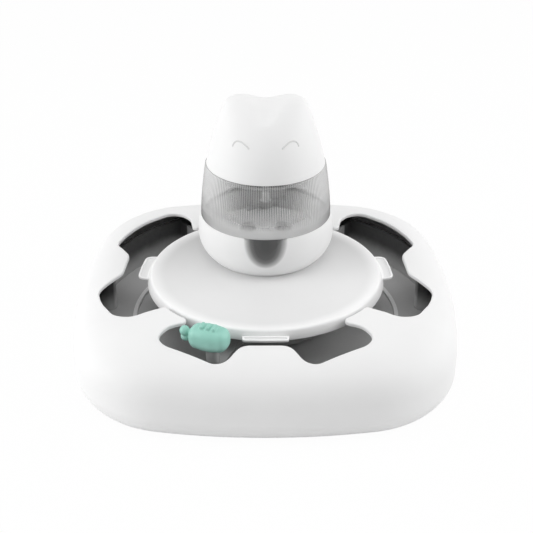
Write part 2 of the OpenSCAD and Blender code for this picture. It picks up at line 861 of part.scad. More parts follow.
// Trough that leads from under the deck's outlet to the spout, and the hood that closes the spout above it
module chute() {
    trough_r = spout_w / 2 - chute_gap;
    trough_out = 8;
    trough_len = trough_out + 40;
    color(charcoal)
        translate([0, feeder_y, 0]) {
            intersection() {
                translate([0, -hood_r, spout_mid])
                    rotate([90 - chute_tilt, 0, 180])
                        translate([0, 0, -trough_out])
                            tube(trough_r, trough_r - chute_wall, trough_len);
                translate([0, -hood_r / 2, plate_top + spout_low])
                    difference() {
                        cylinder(r = hood_r / 2 + 0.4, h = deck_z - face_gap - plate_top - spout_low);
                        translate([0, hood_r / 2, -eps])
                            cylinder(r = shaft_r + 5, h = cup_h);
                    }
            }
            difference() {
                intersection() {
                    translate([0, 0, plate_top])
                        tube(hood_r + hood_t, hood_r, cup_h - face_gap);
                    through_front()
                        spout_outline(chute_gap);
                }
                intersection() {
                    through_front()
                        spout_outline(chute_gap + chute_wall);
                    translate([0, 0, plate_top])
                        cylinder(r = 2 * hood_r, h = deck_z - plate_top);
                }
            }
        }
}

module dose_deck() {
    color(charcoal)
        difference() {
            translate([0, feeder_y, deck_z])
                cylinder(r = deck_r, h = deck_t);
            translate([0, feeder_y, deck_z - eps])
                cylinder(r = shaft_r + 0.4, h = deck_t + 2 * eps);
            at_feeder(pocket_pcr, [270])
                translate([0, 0, deck_z - eps])
                    cylinder(r = pocket_r + 0.6, h = deck_t + 2 * eps);
        }
}

module dose_disc() {
    color(grey)
        difference() {
            translate([0, feeder_y, disc_z])
                cylinder(r = disc_r, h = disc_t);
            translate([0, feeder_y, disc_z - eps])
                cylinder(r = shaft_r, h = disc_t + 2 * eps);
            at_feeder(pocket_pcr, pocket_az)
                translate([0, 0, disc_z - eps])
                    cylinder(r = pocket_r, h = disc_t + 2 * eps);
        }
}

module dose_shaft() {
    color(steel)
        translate([0, feeder_y, pinion_z])
            cylinder(r = shaft_r, h = flange_top + hump_h + 3 - pinion_z);
}

module pinion() {
    color("#e6e2d6")
        translate([0, feeder_y, pinion_z])
            difference() {
                linear_extrude(gear_t)
                    rotate(270 + 180 / pinion_teeth)
                        polygon(gear_outline(pinion_teeth));
                translate([0, 0, -eps])
                    cylinder(r = shaft_r, h = gear_t + 2 * eps);
            }
}

// Low hump that closes the hopper below, with the two inlets above the dose disc
module hopper_floor() {
    color(clear)
        difference() {
            translate([0, feeder_y, 0])
                rotate_extrude()
                    polygon([
                        [shaft_r + 0.4, flange_top - flange_t], [rim_in_r - 0.1, flange_top - flange_t],
                        [rim_in_r - 0.1, flange_top], [rim_in_r - 5, flange_top],
                        [26, flange_top + hump_h * 0.3], [15, flange_top + hump_h * 0.75],
                        [8, flange_top + hump_h], [shaft_r + 0.4, flange_top + hump_h]
                    ]);
            at_feeder(pocket_pcr, inlet_az)
                translate([0, 0, flange_top - flange_t - eps])
                    cylinder(r = pocket_r + 0.6, h = hump_h + flange_t + 2 * eps);
        }
}

// Post with two low paddles that keep the treats loose
module agitator() {
    base = flange_top + hump_h + face_gap;
    post_h = 26;
    paddle_l = 17;
    color("#e8e8e6")
        translate([0, feeder_y, base])
            difference() {
                union() {
                    cylinder(r = shaft_r + 2, h = 5);
                    cylinder(r1 = shaft_r + 0.2, r2 = shaft_r - 0.4, h = post_h);
                    for (a = [0, 180])
                        rotate(a + 35)
                            translate([0, -1, 0.6])
                                cube([paddle_l, 2, 4]);
                }
                translate([0, 0, -eps])
                    cylinder(r = shaft_r, h = 3 - face_gap + eps);
            }
}

module hopper() {
    color(clear)
        translate([0, feeder_y, 0])
            rotate_extrude()
                polygon([
                    [hopper_foot_r, cup_top], [hopper_top_r, hopper_top],
                    [hopper_top_r - hopper_wall, hopper_top],
                    [hopper_foot_r - hopper_wall - 1.2, cup_top + 4], [rim_in_r - 2, cup_top],
                    [rim_in_r - 2, flange_top], [rim_in_r, flange_top], [rim_in_r, cup_top]
                ]);
}

// Half width and half depth of the head at height h above its foot
function head_w(h) = head_foot_r - 0.2 * h - 0.0022 * h * h;
function head_d(h) = head_w(h) * sqrt(1 - pow(h / head_h, 3));

// Solid of the head, made smaller by t: oval rings that lean in to a ridge with an ear at each end
module head_form(t) {
    rings = 8;
    top_ring = 0.9;
    hull() {
        for (i = [0:rings - 1])
            let (h = head_h * top_ring * i / (rings - 1))
                translate([0, 0, hopper_top + h * (1 - 0.8 * t / head_h)])
                    scale([head_w(h) - t, head_d(h) - t, 1])
                        cylinder(r = 1, h = 0.1, $fn = 72);
        for (side = [-1, 1])
            translate([side * ear_x, 0, head_top - ear_r])
                sphere(r = ear_r - t, $fn = 48);
    }
}

module head_lid() {
    groove_r = 46;
    color(white)
        translate([0, feeder_y, 0])
            difference() {
                head_form(0);
                translate([0, 0, -0.2])
                    head_form(head_wall);
                translate([0, 0, head_top - ear_hollow + groove_r])
                    rotate([90, 0, 0])
                        cylinder(r = groove_r, h = 3 * ear_r, center = true, $fn = 128);
            }
}

module lid_collar() {
    outer_r = hopper_top_r - hopper_wall - collar_gap;
    color("#ececea")
        translate([0, feeder_y, hopper_top - collar_down])
            difference() {
                tube(outer_r, outer_r - collar_wall, collar_down + collar_up);
                translate([0, 0, 1.5])
                    tube(outer_r + 1, outer_r - 0.8, seal_h);
            }
}

module lid_seal() {
    outer_r = hopper_top_r - hopper_wall - collar_gap;
    color("#c8ccd0")
        translate([0, feeder_y, hopper_top - collar_down + 1.5])
            tube(outer_r + 0.3, outer_r - 0.8, seal_h);
}

base_shell();
base_pan();
rubber_feet();
pan_screws();
channel_bowl();
track_rail();
spindle();
thrust_washer();
spindle_clip();
arm_rotor();
rotor_bush();
drive_gear();
gear_screws();
roller_axle();
arm_roller();
teaser_stem();
teaser_toy();
treat_plate();
shaft_bush();
dispenser_cup();
cup_screws();
chute();
dose_deck();
dose_disc();
dose_shaft();
pinion();
hopper_floor();
agitator();
hopper();
head_lid();
lid_collar();
lid_seal();
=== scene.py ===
import math

import bmesh
import bpy
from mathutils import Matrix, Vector, geometry
from mathutils.bvhtree import BVHTree


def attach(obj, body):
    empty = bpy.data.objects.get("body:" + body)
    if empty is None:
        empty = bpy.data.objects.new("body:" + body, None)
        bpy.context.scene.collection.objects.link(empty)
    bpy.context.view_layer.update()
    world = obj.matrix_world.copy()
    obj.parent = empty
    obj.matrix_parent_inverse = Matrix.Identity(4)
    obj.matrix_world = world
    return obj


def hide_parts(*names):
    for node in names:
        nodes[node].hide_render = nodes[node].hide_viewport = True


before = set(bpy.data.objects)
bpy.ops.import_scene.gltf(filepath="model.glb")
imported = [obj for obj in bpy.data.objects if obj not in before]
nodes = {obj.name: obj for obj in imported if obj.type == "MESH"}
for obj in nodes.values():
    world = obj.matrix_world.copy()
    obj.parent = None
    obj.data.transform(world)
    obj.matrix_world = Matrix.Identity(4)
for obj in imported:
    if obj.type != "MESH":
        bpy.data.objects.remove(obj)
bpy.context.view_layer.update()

mm = 0.001
weld = 1e-5  # points of a filled outline that lie closer than this are one
tiny = 1e-6  # a shorter step along a line is left out


# outlines, all in millimetres

def polar(r, deg):
    return Vector((r * math.cos(math.radians(deg)), r * math.sin(math.radians(deg))))


def arc(centre, r, a, b, n):
    # n steps from angle a to angle b, in degrees
    return [Vector(centre) + polar(r, a + (b - a) * i / n) for i in range(n + 1)]


def fillet(p, q, s, r, n=8):
    # arc of radius r in the corner q of the line p, q, s
    u, v = (p - q).normalized(), (s - q).normalized()
    half = math.acos(max(-1, min(1, u.dot(v)))) / 2
    centre = q + (u + v).normalized() * (r / math.sin(half))
    e, f = q + u * (r / math.tan(half)) - centre, q + v * (r / math.tan(half)) - centre
    a = math.degrees(math.atan2(e.y, e.x))
    turn = (math.degrees(math.atan2(f.y, f.x)) - a + 180) % 360 - 180
    return arc(centre, r, a, a + turn, n)


def spread(points, step):
    # even points along a closed line
    out = []
    for p, q in zip(points, points[1:] + points[:1]):
        n = max(1, round((q - p).length / step))
        out += [p.lerp(q, i / n) for i in range(n) if (q - p).length > tiny]
    return out


def grown(points, d):
    # closed line moved to its left by d
    out = []
    for i, p in enumerate(points):
        t = (points[(i + 1) % len(points)] - points[i - 1]).normalized()
        out.append(p + Vector((-t.y, t.x)) * d)
    return out


def curved(rough, cuts):
    # smooth line through a few points
    last = len(rough) - 1
    out = []
    for i in range(last):
        a, p, q, b = rough[max(0, i - 1)], rough[i], rough[i + 1], rough[min(last, i + 2)]
        for j in range(cuts):
            t = j / cuts
            out.append(0.5 * (2 * p + (q - a) * t + (2 * a - 5 * p + 4 * q - b) * t * t
                              + (3 * p - a - 3 * q + b) * t * t * t))
    return out + [rough[-1]]


def inside(p, loop):
    # whether a point lies in a closed line
    hit = False
    for a, b in zip(loop, loop[1:] + loop[:1]):
        if (a.y > p.y) != (b.y > p.y) and p.x < (b.x - a.x) * (p.y - a.y) / (b.y - a.y) + a.x:
            hit = not hit
    return hit


def filled(loops, loose, keep):
    # triangles on closed lines and loose points; keep says of a triangle's middle whether it stays
    points, edges = [], []
    for loop in loops:
        start, n = len(points), len(loop)
        edges += [(start + i, start + (i + 1) % n) for i in range(n)]
        points += loop
    verts, _, tris, _, _, _ = geometry.delaunay_2d_cdt(points + loose, edges, [], 0, weld)
    return verts, [tri for tri in tris if keep((verts[tri[0]] + verts[tri[1]] + verts[tri[2]]) / 3)]


# meshes, points in millimetres

def turned(points, faces, normals):
    # faces wound to look the way of their points' normals
    out = []
    for f in faces:
        up = sum((normals[i] for i in f), Vector())
        out.append(f if geometry.normal([points[i] for i in f]).dot(up) > 0 else f[::-1])
    return out


def piece(name, points, faces, body, stands=(), slot=None, material=None, normals=None, flat=None):
    # an object that rides on a body; edges that turn by more than flat degrees stay sharp
    mesh = bpy.data.meshes.new(name)
    points = [Vector(p) for p in points]
    if normals:
        normals = [Vector(n).normalized() for n in normals]
        faces = turned(points, faces, normals)
    mesh.from_pydata([p * mm for p in points], [], faces)
    mesh.validate()
    mesh.polygons.foreach_set("use_smooth", [True] * len(mesh.polygons))
    if flat is not None:
        mesh.set_sharp_from_angle(angle=math.radians(flat))
    obj = bpy.data.objects.new(name, mesh)
    bpy.context.scene.collection.objects.link(obj)
    if normals:
        mesh.normals_split_custom_set_from_vertices(normals)
    mesh.materials.append(material)
    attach(obj, body)
    if stands:
        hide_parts(*stands)
    return obj


def ringFaces(count, n, closed=True):
    # faces between rings of n points each
    rows = []
    for i in range(count - 1):
        for j in range(n if closed else n - 1):
            k = (j + 1) % n
            rows.append((i * n + j, i * n + k, (i + 1) * n + k, (i + 1) * n + j))
    return rows


def caps(count, n):
    # end faces of a stack of rings
    last = (count - 1) * n
    return [tuple(range(n))[::-1], tuple(range(last, last + n))]


def lathe(profile, n, centre=(0, 0), capped=False):
    # profile as [radius, height]
    points = []
    for r, z in profile:
        for j in range(n):
            a = 2 * math.pi * j / n
            points.append((centre[0] + r * math.cos(a), centre[1] + r * math.sin(a), z))
    return points, ringFaces(len(profile), n) + (caps(len(profile), n) if capped else [])


def joined(parts):
    points, faces = [], []
    for p, f in parts:
        faces += [tuple(i + len(points) for i in face) for face in f]
        points += [Vector(v) for v in p]
    return points, faces


def soft(mesh, voxel, rounds):
    # one smooth skin over a rough closed form
    holder = bpy.data.objects.new("holder", mesh)
    bpy.context.scene.collection.objects.link(holder)
    skin = holder.modifiers.new("skin", "REMESH")
    skin.mode, skin.voxel_size = "VOXEL", voxel * mm
    smooth = holder.modifiers.new("smooth", "SMOOTH")
    smooth.factor, smooth.iterations = 0.5, rounds
    out = bpy.data.meshes.new_from_object(holder.evaluated_get(bpy.context.evaluated_depsgraph_get()))
    bpy.data.objects.remove(holder)
    return out


class Skin:
    # a mesh that grows by rings and patches, with a normal for each point
    def __init__(self):
        self.points, self.normals, self.faces = [], [], []

    def ring(self, rows):
        start = len(self.points)
        for point, normal in rows:
            self.points.append(point)
            self.normals.append(normal)
        return start

    def band(self, a, b, n):
        # faces between two closed rings of n points
        self.faces += [(a + j, a + (j + 1) % n, b + (j + 1) % n, b + j) for j in range(n)]

    def patch(self, rows, faces):
        start = self.ring(rows)
        self.faces += [tuple(start + i for i in face) for face in faces]


# shader nodes as expressions

def operators(operation):
    # an operator on sockets, and its reflected form
    return (lambda a, b: a.shader.math(operation, a, b)), (lambda a, b: a.shader.math(operation, b, a))


class Value:
    def __init__(self, shader, socket):
        self.shader, self.socket = shader, socket

    def __abs__(self):
        return self.shader.math("ABSOLUTE", self)

    __add__, __radd__ = operators("ADD")
    __sub__, __rsub__ = operators("SUBTRACT")
    __mul__, __rmul__ = operators("MULTIPLY")
    __truediv__, __rtruediv__ = operators("DIVIDE")
    __pow__, __rpow__ = operators("POWER")


class Shader:
    def __init__(self, owner):
        # owner is the name of a new material, or a world
        self.material = bpy.data.materials.new(owner) if isinstance(owner, str) else owner
        self.material.use_nodes = True
        self.nodes = self.material.node_tree.nodes
        self.links = self.material.node_tree.links
        self.bsdf = self.nodes.get("Principled BSDF")

    def add(self, kind, settings=None, sockets=None, out=0):
        node = self.nodes.new(kind)
        for key, value in (settings or {}).items():
            if key == "stops":
                ramp = node.color_ramp
                while len(ramp.elements) < len(value):
                    ramp.elements.new(0.5)
                for element, (place, colour) in zip(ramp.elements, value):
                    element.position, element.color = place, (*colour, 1)
            else:
                setattr(node, key, value)
        self.put(node, sockets or {})
        return Value(self, node.outputs[out])

    def put(self, node, sockets):
        for key, value in sockets.items():
            if isinstance(value, Value):
                self.links.new(value.socket, node.inputs[key])
            elif isinstance(value, (tuple, list)) and len(value) == 3 and node.inputs[key].type == "RGBA":
                node.inputs[key].default_value = (*value, 1)
            else:
                node.inputs[key].default_value = value

    def math(self, operation, a, b=None):
        return self.add("ShaderNodeMath", {"operation": operation}, {0: a} if b is None else {0: a, 1: b})

    def place(self):
        return self.add("ShaderNodeTexCoord", out=3)  # object coordinates

    def axes(self):
        split = self.add("ShaderNodeSeparateXYZ", None, {0: self.place()}).socket.node
        return [Value(self, socket) for socket in split.outputs]

    def noise(self, scale, detail=3.0, rough=0.5):
        return self.add("ShaderNodeTexNoise", None, {
            "Vector": self.place(), "Scale": scale, "Detail": detail, "Roughness": rough})

    def mix(self, factor, a, b):
        return self.add("ShaderNodeMix", {"data_type": "RGBA"}, {0: factor, 6: a, 7: b}, out=2)

    def fade(self, value, start, end, easy=False, least=0.0):
        # from least to 1 between two places in millimetres
        return self.add("ShaderNodeMapRange", {"interpolation_type": "SMOOTHSTEP" if easy else "LINEAR"},
                        {0: value, 1: start * mm, 2: end * mm, 3: least})

    def sight(self):
        # rays that see the backdrop: camera, glossy and transmission
        rays = sum(self.add("ShaderNodeLightPath", out=i) for i in (0, 3, 6))
        return self.math("MINIMUM", rays, 1.0)

    def bump(self, height, distance):
        return self.add("ShaderNodeBump", None, {
            "Height": height, "Distance": distance * mm, "Strength": 1.0})

    def blend(self, factor, other):
        # another shader over the plain surface
        plain = Value(self, self.bsdf.outputs[0])
        both = self.add("ShaderNodeMixShader", None, {0: factor, 1: plain, 2: other})
        self.links.new(both.socket, self.nodes["Material Output"].inputs["Surface"])
        return self.material

    def finish(self, sockets):
        self.put(self.bsdf, sockets)
        return self.material


def grey(tone):
    return (tone, tone, tone)


def swing(noise, amount):
    # noise about its middle
    return (noise - 0.5) * amount


def away(x, y):
    # distance from the axis
    return (x * x + y * y) ** 0.5


print("materials")
# scales of the noise in a finish, and how far each one swings a value
satin = dict(tone=24, sheen=110, sheenSwing=0.14, grain=900)
turnedMetal = dict(stain=160, stainRough=0.12, rings=900.0, wobble=1.5, depth=0.004)


def plastic(name, dark, light, rough, depth=0.01, gloss=0.4):
    # satin moulding: slow change of tone, patchy gloss, fine grain
    s = Shader(name)
    tone = s.noise(satin["tone"])
    sheen = s.noise(satin["sheen"], detail=4, rough=0.6)
    grain = s.noise(satin["grain"], detail=2)
    return s.finish({"Base Color": s.mix(tone, dark, light), "Specular IOR Level": gloss,
                     "Roughness": rough + swing(sheen, satin["sheenSwing"]), "Normal": s.bump(grain, depth)})


def metal(name, dark, light, rough):
    # rings round the axis and small stains
    s = Shader(name)
    stain = s.noise(turnedMetal["stain"], detail=5, rough=0.6)
    rings = s.add("ShaderNodeTexWave", {"wave_type": "RINGS", "rings_direction": "Z"},
                  {"Vector": s.place(), "Scale": turnedMetal["rings"], "Distortion": turnedMetal["wobble"]})
    return s.finish({"Base Color": s.mix(stain, dark, light), "Metallic": 1.0,
                     "Roughness": rough + stain * turnedMetal["stainRough"],
                     "Normal": s.bump(rings, turnedMetal["depth"])})


# the ribs come in between the heights low and high, and grow bolder from faint to bold
# halfDark to halfPale bound the painted reflection: dark ribs over the middle, paler denser sides; footGrey
# to dark is painted shade at the back of the foot
ribs = dict(count=170, y=36, low=94, high=100, faint=102, bold=110, least=0.3, dense=0.53, side=0.36,
            foot=0.58, footGrey=grey(0.7), back=4, front=-6, halfDark=12, halfPale=42)
haze = dict(scale=60, swing=0.05, rough=0.14, roughHaze=0.08, grain=500, depth=0.003, glossRough=0.35)


def ribsPaintedReflection(s, dark, light, alpha):
    # fine ribs, painted dark over the middle of the ring and paler and denser at its sides as painted
    # reflection, and a hazy foot darkened at its back middle as painted shade
    x, y, z = s.axes()
    y = y - ribs["y"] * mm
    wave = s.math("COSINE", s.math("ARCTAN2", y, x) * ribs["count"])
    rise = s.fade(z, ribs["low"], ribs["high"])
    ridge = (wave * 0.5 + 0.5) ** 2 * rise * s.fade(z, ribs["faint"], ribs["bold"], least=ribs["least"])
    front = s.fade(y, ribs["back"], ribs["front"])
    middle = s.fade(abs(x), ribs["halfPale"], ribs["halfDark"], easy=True)
    dense = ridge * ribs["dense"] + rise * (1 - middle) * ribs["side"] + (1 - rise) * ribs["foot"] + alpha
    foot = s.mix(middle * (1 - front), ribs["footGrey"], dark)
    return s.mix(rise, foot, s.mix(ridge * middle, light, dark)), dense


def clear(name, dark, light, alpha, edge, sheen=0.9, ribbed=False):
    # see-through plastic with a little haze, and a sheen where it turns away
    s = Shader(name)
    cloud = s.noise(haze["scale"])
    if ribbed:
        colour, dense = ribsPaintedReflection(s, dark, light, alpha)
    else:
        colour, dense = s.mix(cloud, dark, light), alpha + swing(cloud, haze["swing"])
    s.finish({"Base Color": colour, "Alpha": dense, "Roughness": haze["rough"] + cloud * haze["roughHaze"],
              "Normal": s.bump(s.noise(haze["grain"], detail=2), haze["depth"])})
    facing = s.add("ShaderNodeLayerWeight", None, {"Blend": 0.5}, out=1)
    gloss = s.add("ShaderNodeBsdfAnisotropic", None, {"Color": grey(sheen), "Roughness": haze["glossRough"]})
    return s.blend(facing ** 2 * edge, gloss)


# low to high is painted light: the mint is paler low down, where bounce from the white base would light it
rubber = dict(low=(0.52, 0.9, 0.8), high=(0.3, 0.61, 0.52), bottom=50, top=62, blur=4, scuff=70, rough=0.5,
              roughSwing=0.2, grain=800, depth=0.02)


def mintPaintedBounce(name):
    # mint that deepens with height, under a scuffed grain; the paler low part is painted bounce light from
    # the white base below
    s = Shader(name)
    scuff = s.noise(rubber["scuff"], detail=5, rough=0.65)
    z = s.axes()[2] + swing(scuff, rubber["blur"] * mm)
    rise = s.fade(z, rubber["bottom"], rubber["top"], easy=True)
    return s.finish({"Base Color": s.mix(rise, rubber["low"], rubber["high"]),
                     "Roughness": rubber["rough"] + swing(scuff, rubber["roughSwing"]),
                     "Normal": s.bump(s.noise(rubber["grain"], detail=2), rubber["depth"])})


# low is the floor painted lit, high is the wall painted shaded, and edge is the painted highlight on each
# column's inner edge
bowl = dict(low=grey(0.56), high=(0.036, 0.036, 0.037), bottom=20, top=36, blur=5, columnR=114.5,
            columnEdge=1.6, columnHighlightIn=0.4, edge=grey(0.75), highlightFade=0.6, overFloor=19, scuff=70, speck=420,
            speckGrey=grey(0.3), speckShare=0.16, rough=0.5, roughSwing=0.2, grain=800, depth=0.02)


def bowlPaintedShade(name):
    # grey floor that falls away into a near-black wall: dark charcoal, with the paler floor painted light and
    # the darkest wall painted shade; the inner edge of each wall column carries a painted highlight
    s = Shader(name)
    x, y, z = s.axes()
    scuff = s.noise(bowl["scuff"], detail=5, rough=0.65)
    speck = s.noise(bowl["speck"], detail=2, rough=0.7)
    rise = s.fade(z + swing(scuff, bowl["blur"] * mm), bowl["bottom"], bowl["top"], easy=True)
    # painted highlight down the inner edge of each wall column, fading up the wall
    near = s.fade(away(x, y), bowl["columnR"] + bowl["columnEdge"], bowl["columnR"] + bowl["columnHighlightIn"])
    wall = s.math("GREATER_THAN", z, bowl["overFloor"] * mm)
    tone = s.mix(rise, bowl["low"], bowl["high"])
    tone = s.mix(speck * bowl["speckShare"], tone, bowl["speckGrey"])
    return s.finish({"Base Color": s.mix(near * wall * (1 - rise * bowl["highlightFade"]), tone, bowl["edge"]),
                     "Roughness": bowl["rough"] + swing(scuff, bowl["roughSwing"]),
                     "Normal": s.bump(s.noise(bowl["grain"], detail=2), bowl["depth"])})


# deep is painted shade over the middle of the floor behind the post
hopperFloor = dict(pale=grey(0.92), deep=grey(0.44), start=33, end=37, halfDark=10, halfPale=42, dust=120,
                   rough=0.45, roughDust=0.1, depth=0.01)


def floorPaintedShade(name):
    # pale in front of the post, deep in the middle behind it, where the darker tone is painted shade
    s = Shader(name)
    x, y, z = s.axes()
    far = s.fade(y, hopperFloor["start"], hopperFloor["end"], easy=True)
    middle = s.fade(abs(x), hopperFloor["halfPale"], hopperFloor["halfDark"], easy=True)
    dust = s.noise(hopperFloor["dust"], detail=4, rough=0.6)
    return s.finish({"Base Color": s.mix(far * middle, hopperFloor["pale"], hopperFloor["deep"]),
                     "Roughness": hopperFloor["rough"] + dust * hopperFloor["roughDust"],
                     "Normal": s.bump(dust, hopperFloor["depth"])})


agitator = dict(y=36, post=3.6, paddle=5, pale=grey(0.85), dark=grey(0.44), scuff=200, rough=0.35,
                roughScuff=0.1, depth=0.01)


def postTint(name):
    # pale post with grey paddles
    s = Shader(name)
    x, y, z = s.axes()
    off = s.fade(away(x, y - agitator["y"] * mm), agitator["post"], agitator["paddle"])
    scuff = s.noise(agitator["scuff"], detail=4, rough=0.6)
    return s.finish({"Base Color": s.mix(off, agitator["pale"], agitator["dark"]),
                     "Roughness": agitator["rough"] + scuff * agitator["roughScuff"],
                     "Normal": s.bump(scuff, agitator["depth"])})


white = plastic("white_plastic", grey(0.83), grey(0.87), rough=0.5, gloss=0.15)
charcoal = plastic("charcoal_plastic", (0.115, 0.115, 0.117), (0.14, 0.14, 0.142), rough=0.55, depth=0.02)
bowlGrey = bowlPaintedShade("charcoal_bowl")
drumGrey = plastic("charcoal_drum", grey(0.36), grey(0.42), rough=0.5, depth=0.02)
railGrey = plastic("rail_plastic", grey(0.84), grey(0.9), rough=0.45)
discGrey = plastic("disc_plastic", grey(0.3), grey(0.36), rough=0.5)
acetal = plastic("slide_plastic", (0.66, 0.65, 0.6), (0.72, 0.71, 0.66), rough=0.35)
mint = mintPaintedBounce("mint_rubber")
footRubber = plastic("foot_rubber", grey(0.03), grey(0.05), rough=0.75, depth=0.04)
brass = metal("bush_brass", (0.72, 0.5, 0.2), (0.82, 0.6, 0.28), rough=0.25)
steel = metal("plated_steel", grey(0.58), (0.7, 0.7, 0.69), rough=0.22)
clearPart = clear("clear_plastic", grey(0.76), grey(0.84), alpha=0.5, edge=0.8)
# the ribbed ring carries painted reflection and painted shade through its rib tones
clearRibs = clear("clear_ribbed", grey(0.08), grey(0.95), alpha=0.04, edge=0.95, sheen=0.22, ribbed=True)
clearLining = clear("clear_lining", grey(0.7), grey(0.8), alpha=0.06, edge=0.4)
frost = floorPaintedShade("frosted_floor")
post = postTint("post_plastic")
eyeGrey = plastic("eye_line", grey(0.64), grey(0.7), rough=0.5)


print("base shell")
shell = dict(half=141, sideRadius=420, cornerRadius=74, crest=56, crestInset=36, dome=44, shoulderDeg=35,
             tuckIn=6, tuckHeight=14, ground=2, groundWidth=3, lip=1.2, edge=2.6, hole=89, rootFillet=11,
             holeStep=1.6, topRings=(14, 17.5, 21, 24.5, 28, 31.5, 35, 40, 48), keepOff=1.5,
             lipSteps=7, shoulderSteps=12, tuckSteps=8)
# an opening's ends and leans are the degrees from its middle to each end, and how far the inner corner there
# leans in; the land is what is left of the plate hole's edge between two openings
lobed = dict(lobe=125, lobeEnd=125, cornerIn=0, tongue=106, rootDeg=16.6, tipDeg=7.5, waist=104, endFillet=13,
             tipFillet=14, landFillet=2.5, landRun=8, straight=False, chord=0.45, arcFrom=13, arcTo=6)
openings = [dict(lobed, mid=5, ends=(40.7, 49.5), leans=(-1, 5)),
            dict(lobed, mid=175, ends=(49.5, 40.7), leans=(5, -1)),
            dict(lobed, mid=270, ends=(40.1, 40.1), leans=(5, 5), lobe=127.8, lobeEnd=125.5, cornerIn=2.2,
                 tongue=104.8, rootDeg=13, tipDeg=8.6, endFillet=14, tipFillet=11, landFillet=4.5,
                 straight=True)]
land = dict(trim=5, step=2)  # degrees left to the fillets at each end, and from point to point
sideBack = shell["sideRadius"] - shell["half"]  # from the middle back to the centre of a side's arc
cornerGap = shell["sideRadius"] - shell["cornerRadius"]
cornerAt = (math.sqrt(2 * cornerGap ** 2 - sideBack ** 2) - sideBack) / 2  # x and y of a corner's centre
sideTurn = math.degrees(math.atan2(cornerAt, cornerAt + sideBack))
shoulder = math.radians(shell["shoulderDeg"])
shoulderInset = shell["crestInset"] - shell["dome"] * math.sin(shoulder)
shoulderR = shoulderInset / (1 - math.sin(shoulder))
domeZ = shell["crest"] - shell["dome"]
shoulderZ = domeZ + (shell["dome"] - shoulderR) * math.cos(shoulder)
tuckR = (shell["tuckIn"] ** 2 + shell["tuckHeight"] ** 2) / (2 * shell["tuckIn"])
tuckZ = shell["ground"] + shell["tuckHeight"]


def planRing(inset, nSide=14, nCorner=18):
    # rounded square outline with its outward directions
    out = []
    for d in (0, 90, 180, 270):
        for i in range(nSide):
            a = d - sideTurn + 2 * sideTurn * i / nSide
            out.append((polar(-sideBack, d) + polar(shell["sideRadius"] - inset, a), polar(1, a)))
        centre = polar(cornerAt * math.sqrt(2), d + 45)
        for i in range(nCorner):
            a = d + sideTurn + (90 - 2 * sideTurn) * i / nCorner
            out.append((centre + polar(shell["cornerRadius"] - inset, a), polar(1, a)))
    return out


def domeAt(p):
    # height and normal of the top of the shell over a point of the plan
    x, y = abs(p.x), abs(p.y)
    corner = Vector((x - cornerAt, y - cornerAt))
    turn = math.degrees(math.atan2(corner.y, corner.x))
    if sideTurn < turn < 90 - sideTurn:
        out, inset = corner, shell["cornerRadius"] - corner.length
    else:
        out = Vector((x + sideBack, y)) if x > y else Vector((x, y + sideBack))
        inset = shell["sideRadius"] - out.length
    run = max(0, shell["crestInset"] - inset)
    rise = math.sqrt(shell["dome"] ** 2 - run ** 2)
    lean = out.normalized() * run / shell["dome"]
    normal = Vector((math.copysign(lean.x, p.x), math.copysign(lean.y, p.y), rise / shell["dome"]))
    return domeZ + rise, normal


# in the next four functions d is 1 for the first end of an opening and -1 for its other end

def endTurn(o, d):
    return o["mid"] - d * o["ends"][0 if d > 0 else 1]


def lobeEdge(o, d):
    # outer edge of a lobe between its corner and the tongue's root: straight, or points of an arc
    a, b = endTurn(o, d) + d * o["cornerIn"], o["mid"] - d * o["rootDeg"]
    steps = (0, 1) if o["straight"] else (0, o["chord"], 1 - o["chord"], 1)
    return [polar(o["lobeEnd"] + (o["lobe"] - o["lobeEnd"]) * t, a + (b - a) * t) for t in steps]


def openingEnd(o, d):
    # one end of an opening, from the plate hole out to its lobe
    a, lean, turn = endTurn(o, d), o["leans"][0 if d > 0 else 1], o["endFillet"]
    before = polar(shell["hole"], a + d * (lean - o["landRun"]))
    start = polar(shell["hole"], a + d * lean)
    waist = polar(o["waist"], a)
    corner, far = lobeEdge(o, d)[:2]
    return (fillet(before, start, waist, o["landFillet"], n=6) + fillet(start, waist, corner, turn, n=5)
            + fillet(waist, corner, far, turn, n=9))


def lobeSide(o, d):
    # the rest of a lobe's outer edge, then the tongue's side
    edge = lobeEdge(o, d)
    tip = polar(o["tongue"], o["mid"] - d * o["tipDeg"])
    out = []
    if not o["straight"]:
        a, b = endTurn(o, d) + d * o["arcFrom"], o["mid"] - d * (o["rootDeg"] + o["arcTo"])
        out = arc((0, 0), o["lobe"], a, b, n=4)
    return (out + fillet(edge[-2], edge[-1], tip, shell["rootFillet"], n=8)
            + fillet(edge[-1], tip, polar(o["tongue"], o["mid"]), o["tipFillet"], n=7))


def holeLine():
    # the three lobed openings and the plate hole as one closed line
    out = []
    for i, o in enumerate(openings):
        out += openingEnd(o, 1) + lobeSide(o, 1)
        out += lobeSide(o, -1)[::-1] + openingEnd(o, -1)[::-1]
        after = openings[(i + 1) % len(openings)]
        start = o["mid"] + o["ends"][1] - o["leans"][1] + land["trim"]
        end = after["mid"] - after["ends"][0] + after["leans"][0] - land["trim"]
        if after is openings[0]:
            end += 360
        if end > start:
            out += arc((0, 0), shell["hole"], start, end, max(2, round((end - start) / land["step"])))
    return spread(out, shell["holeStep"])


def shellTop(skin, lipLine):
    # domed sheet between the shoulder and the openings
    outer = [p for p, out in planRing(shoulderInset)]
    loose = [p for inset in shell["topRings"] for p, out in planRing(inset) if not inside(p, lipLine)]
    loose = [p for p in loose if min((p - q).length for q in lipLine) > shell["keepOff"]]
    verts, tris = filled([outer, lipLine], loose, lambda p: not inside(p, lipLine))
    rows = [(p, *domeAt(p)) for p in verts]
    skin.patch([((p.x, p.y, z), up) for p, z, up in rows], tris)


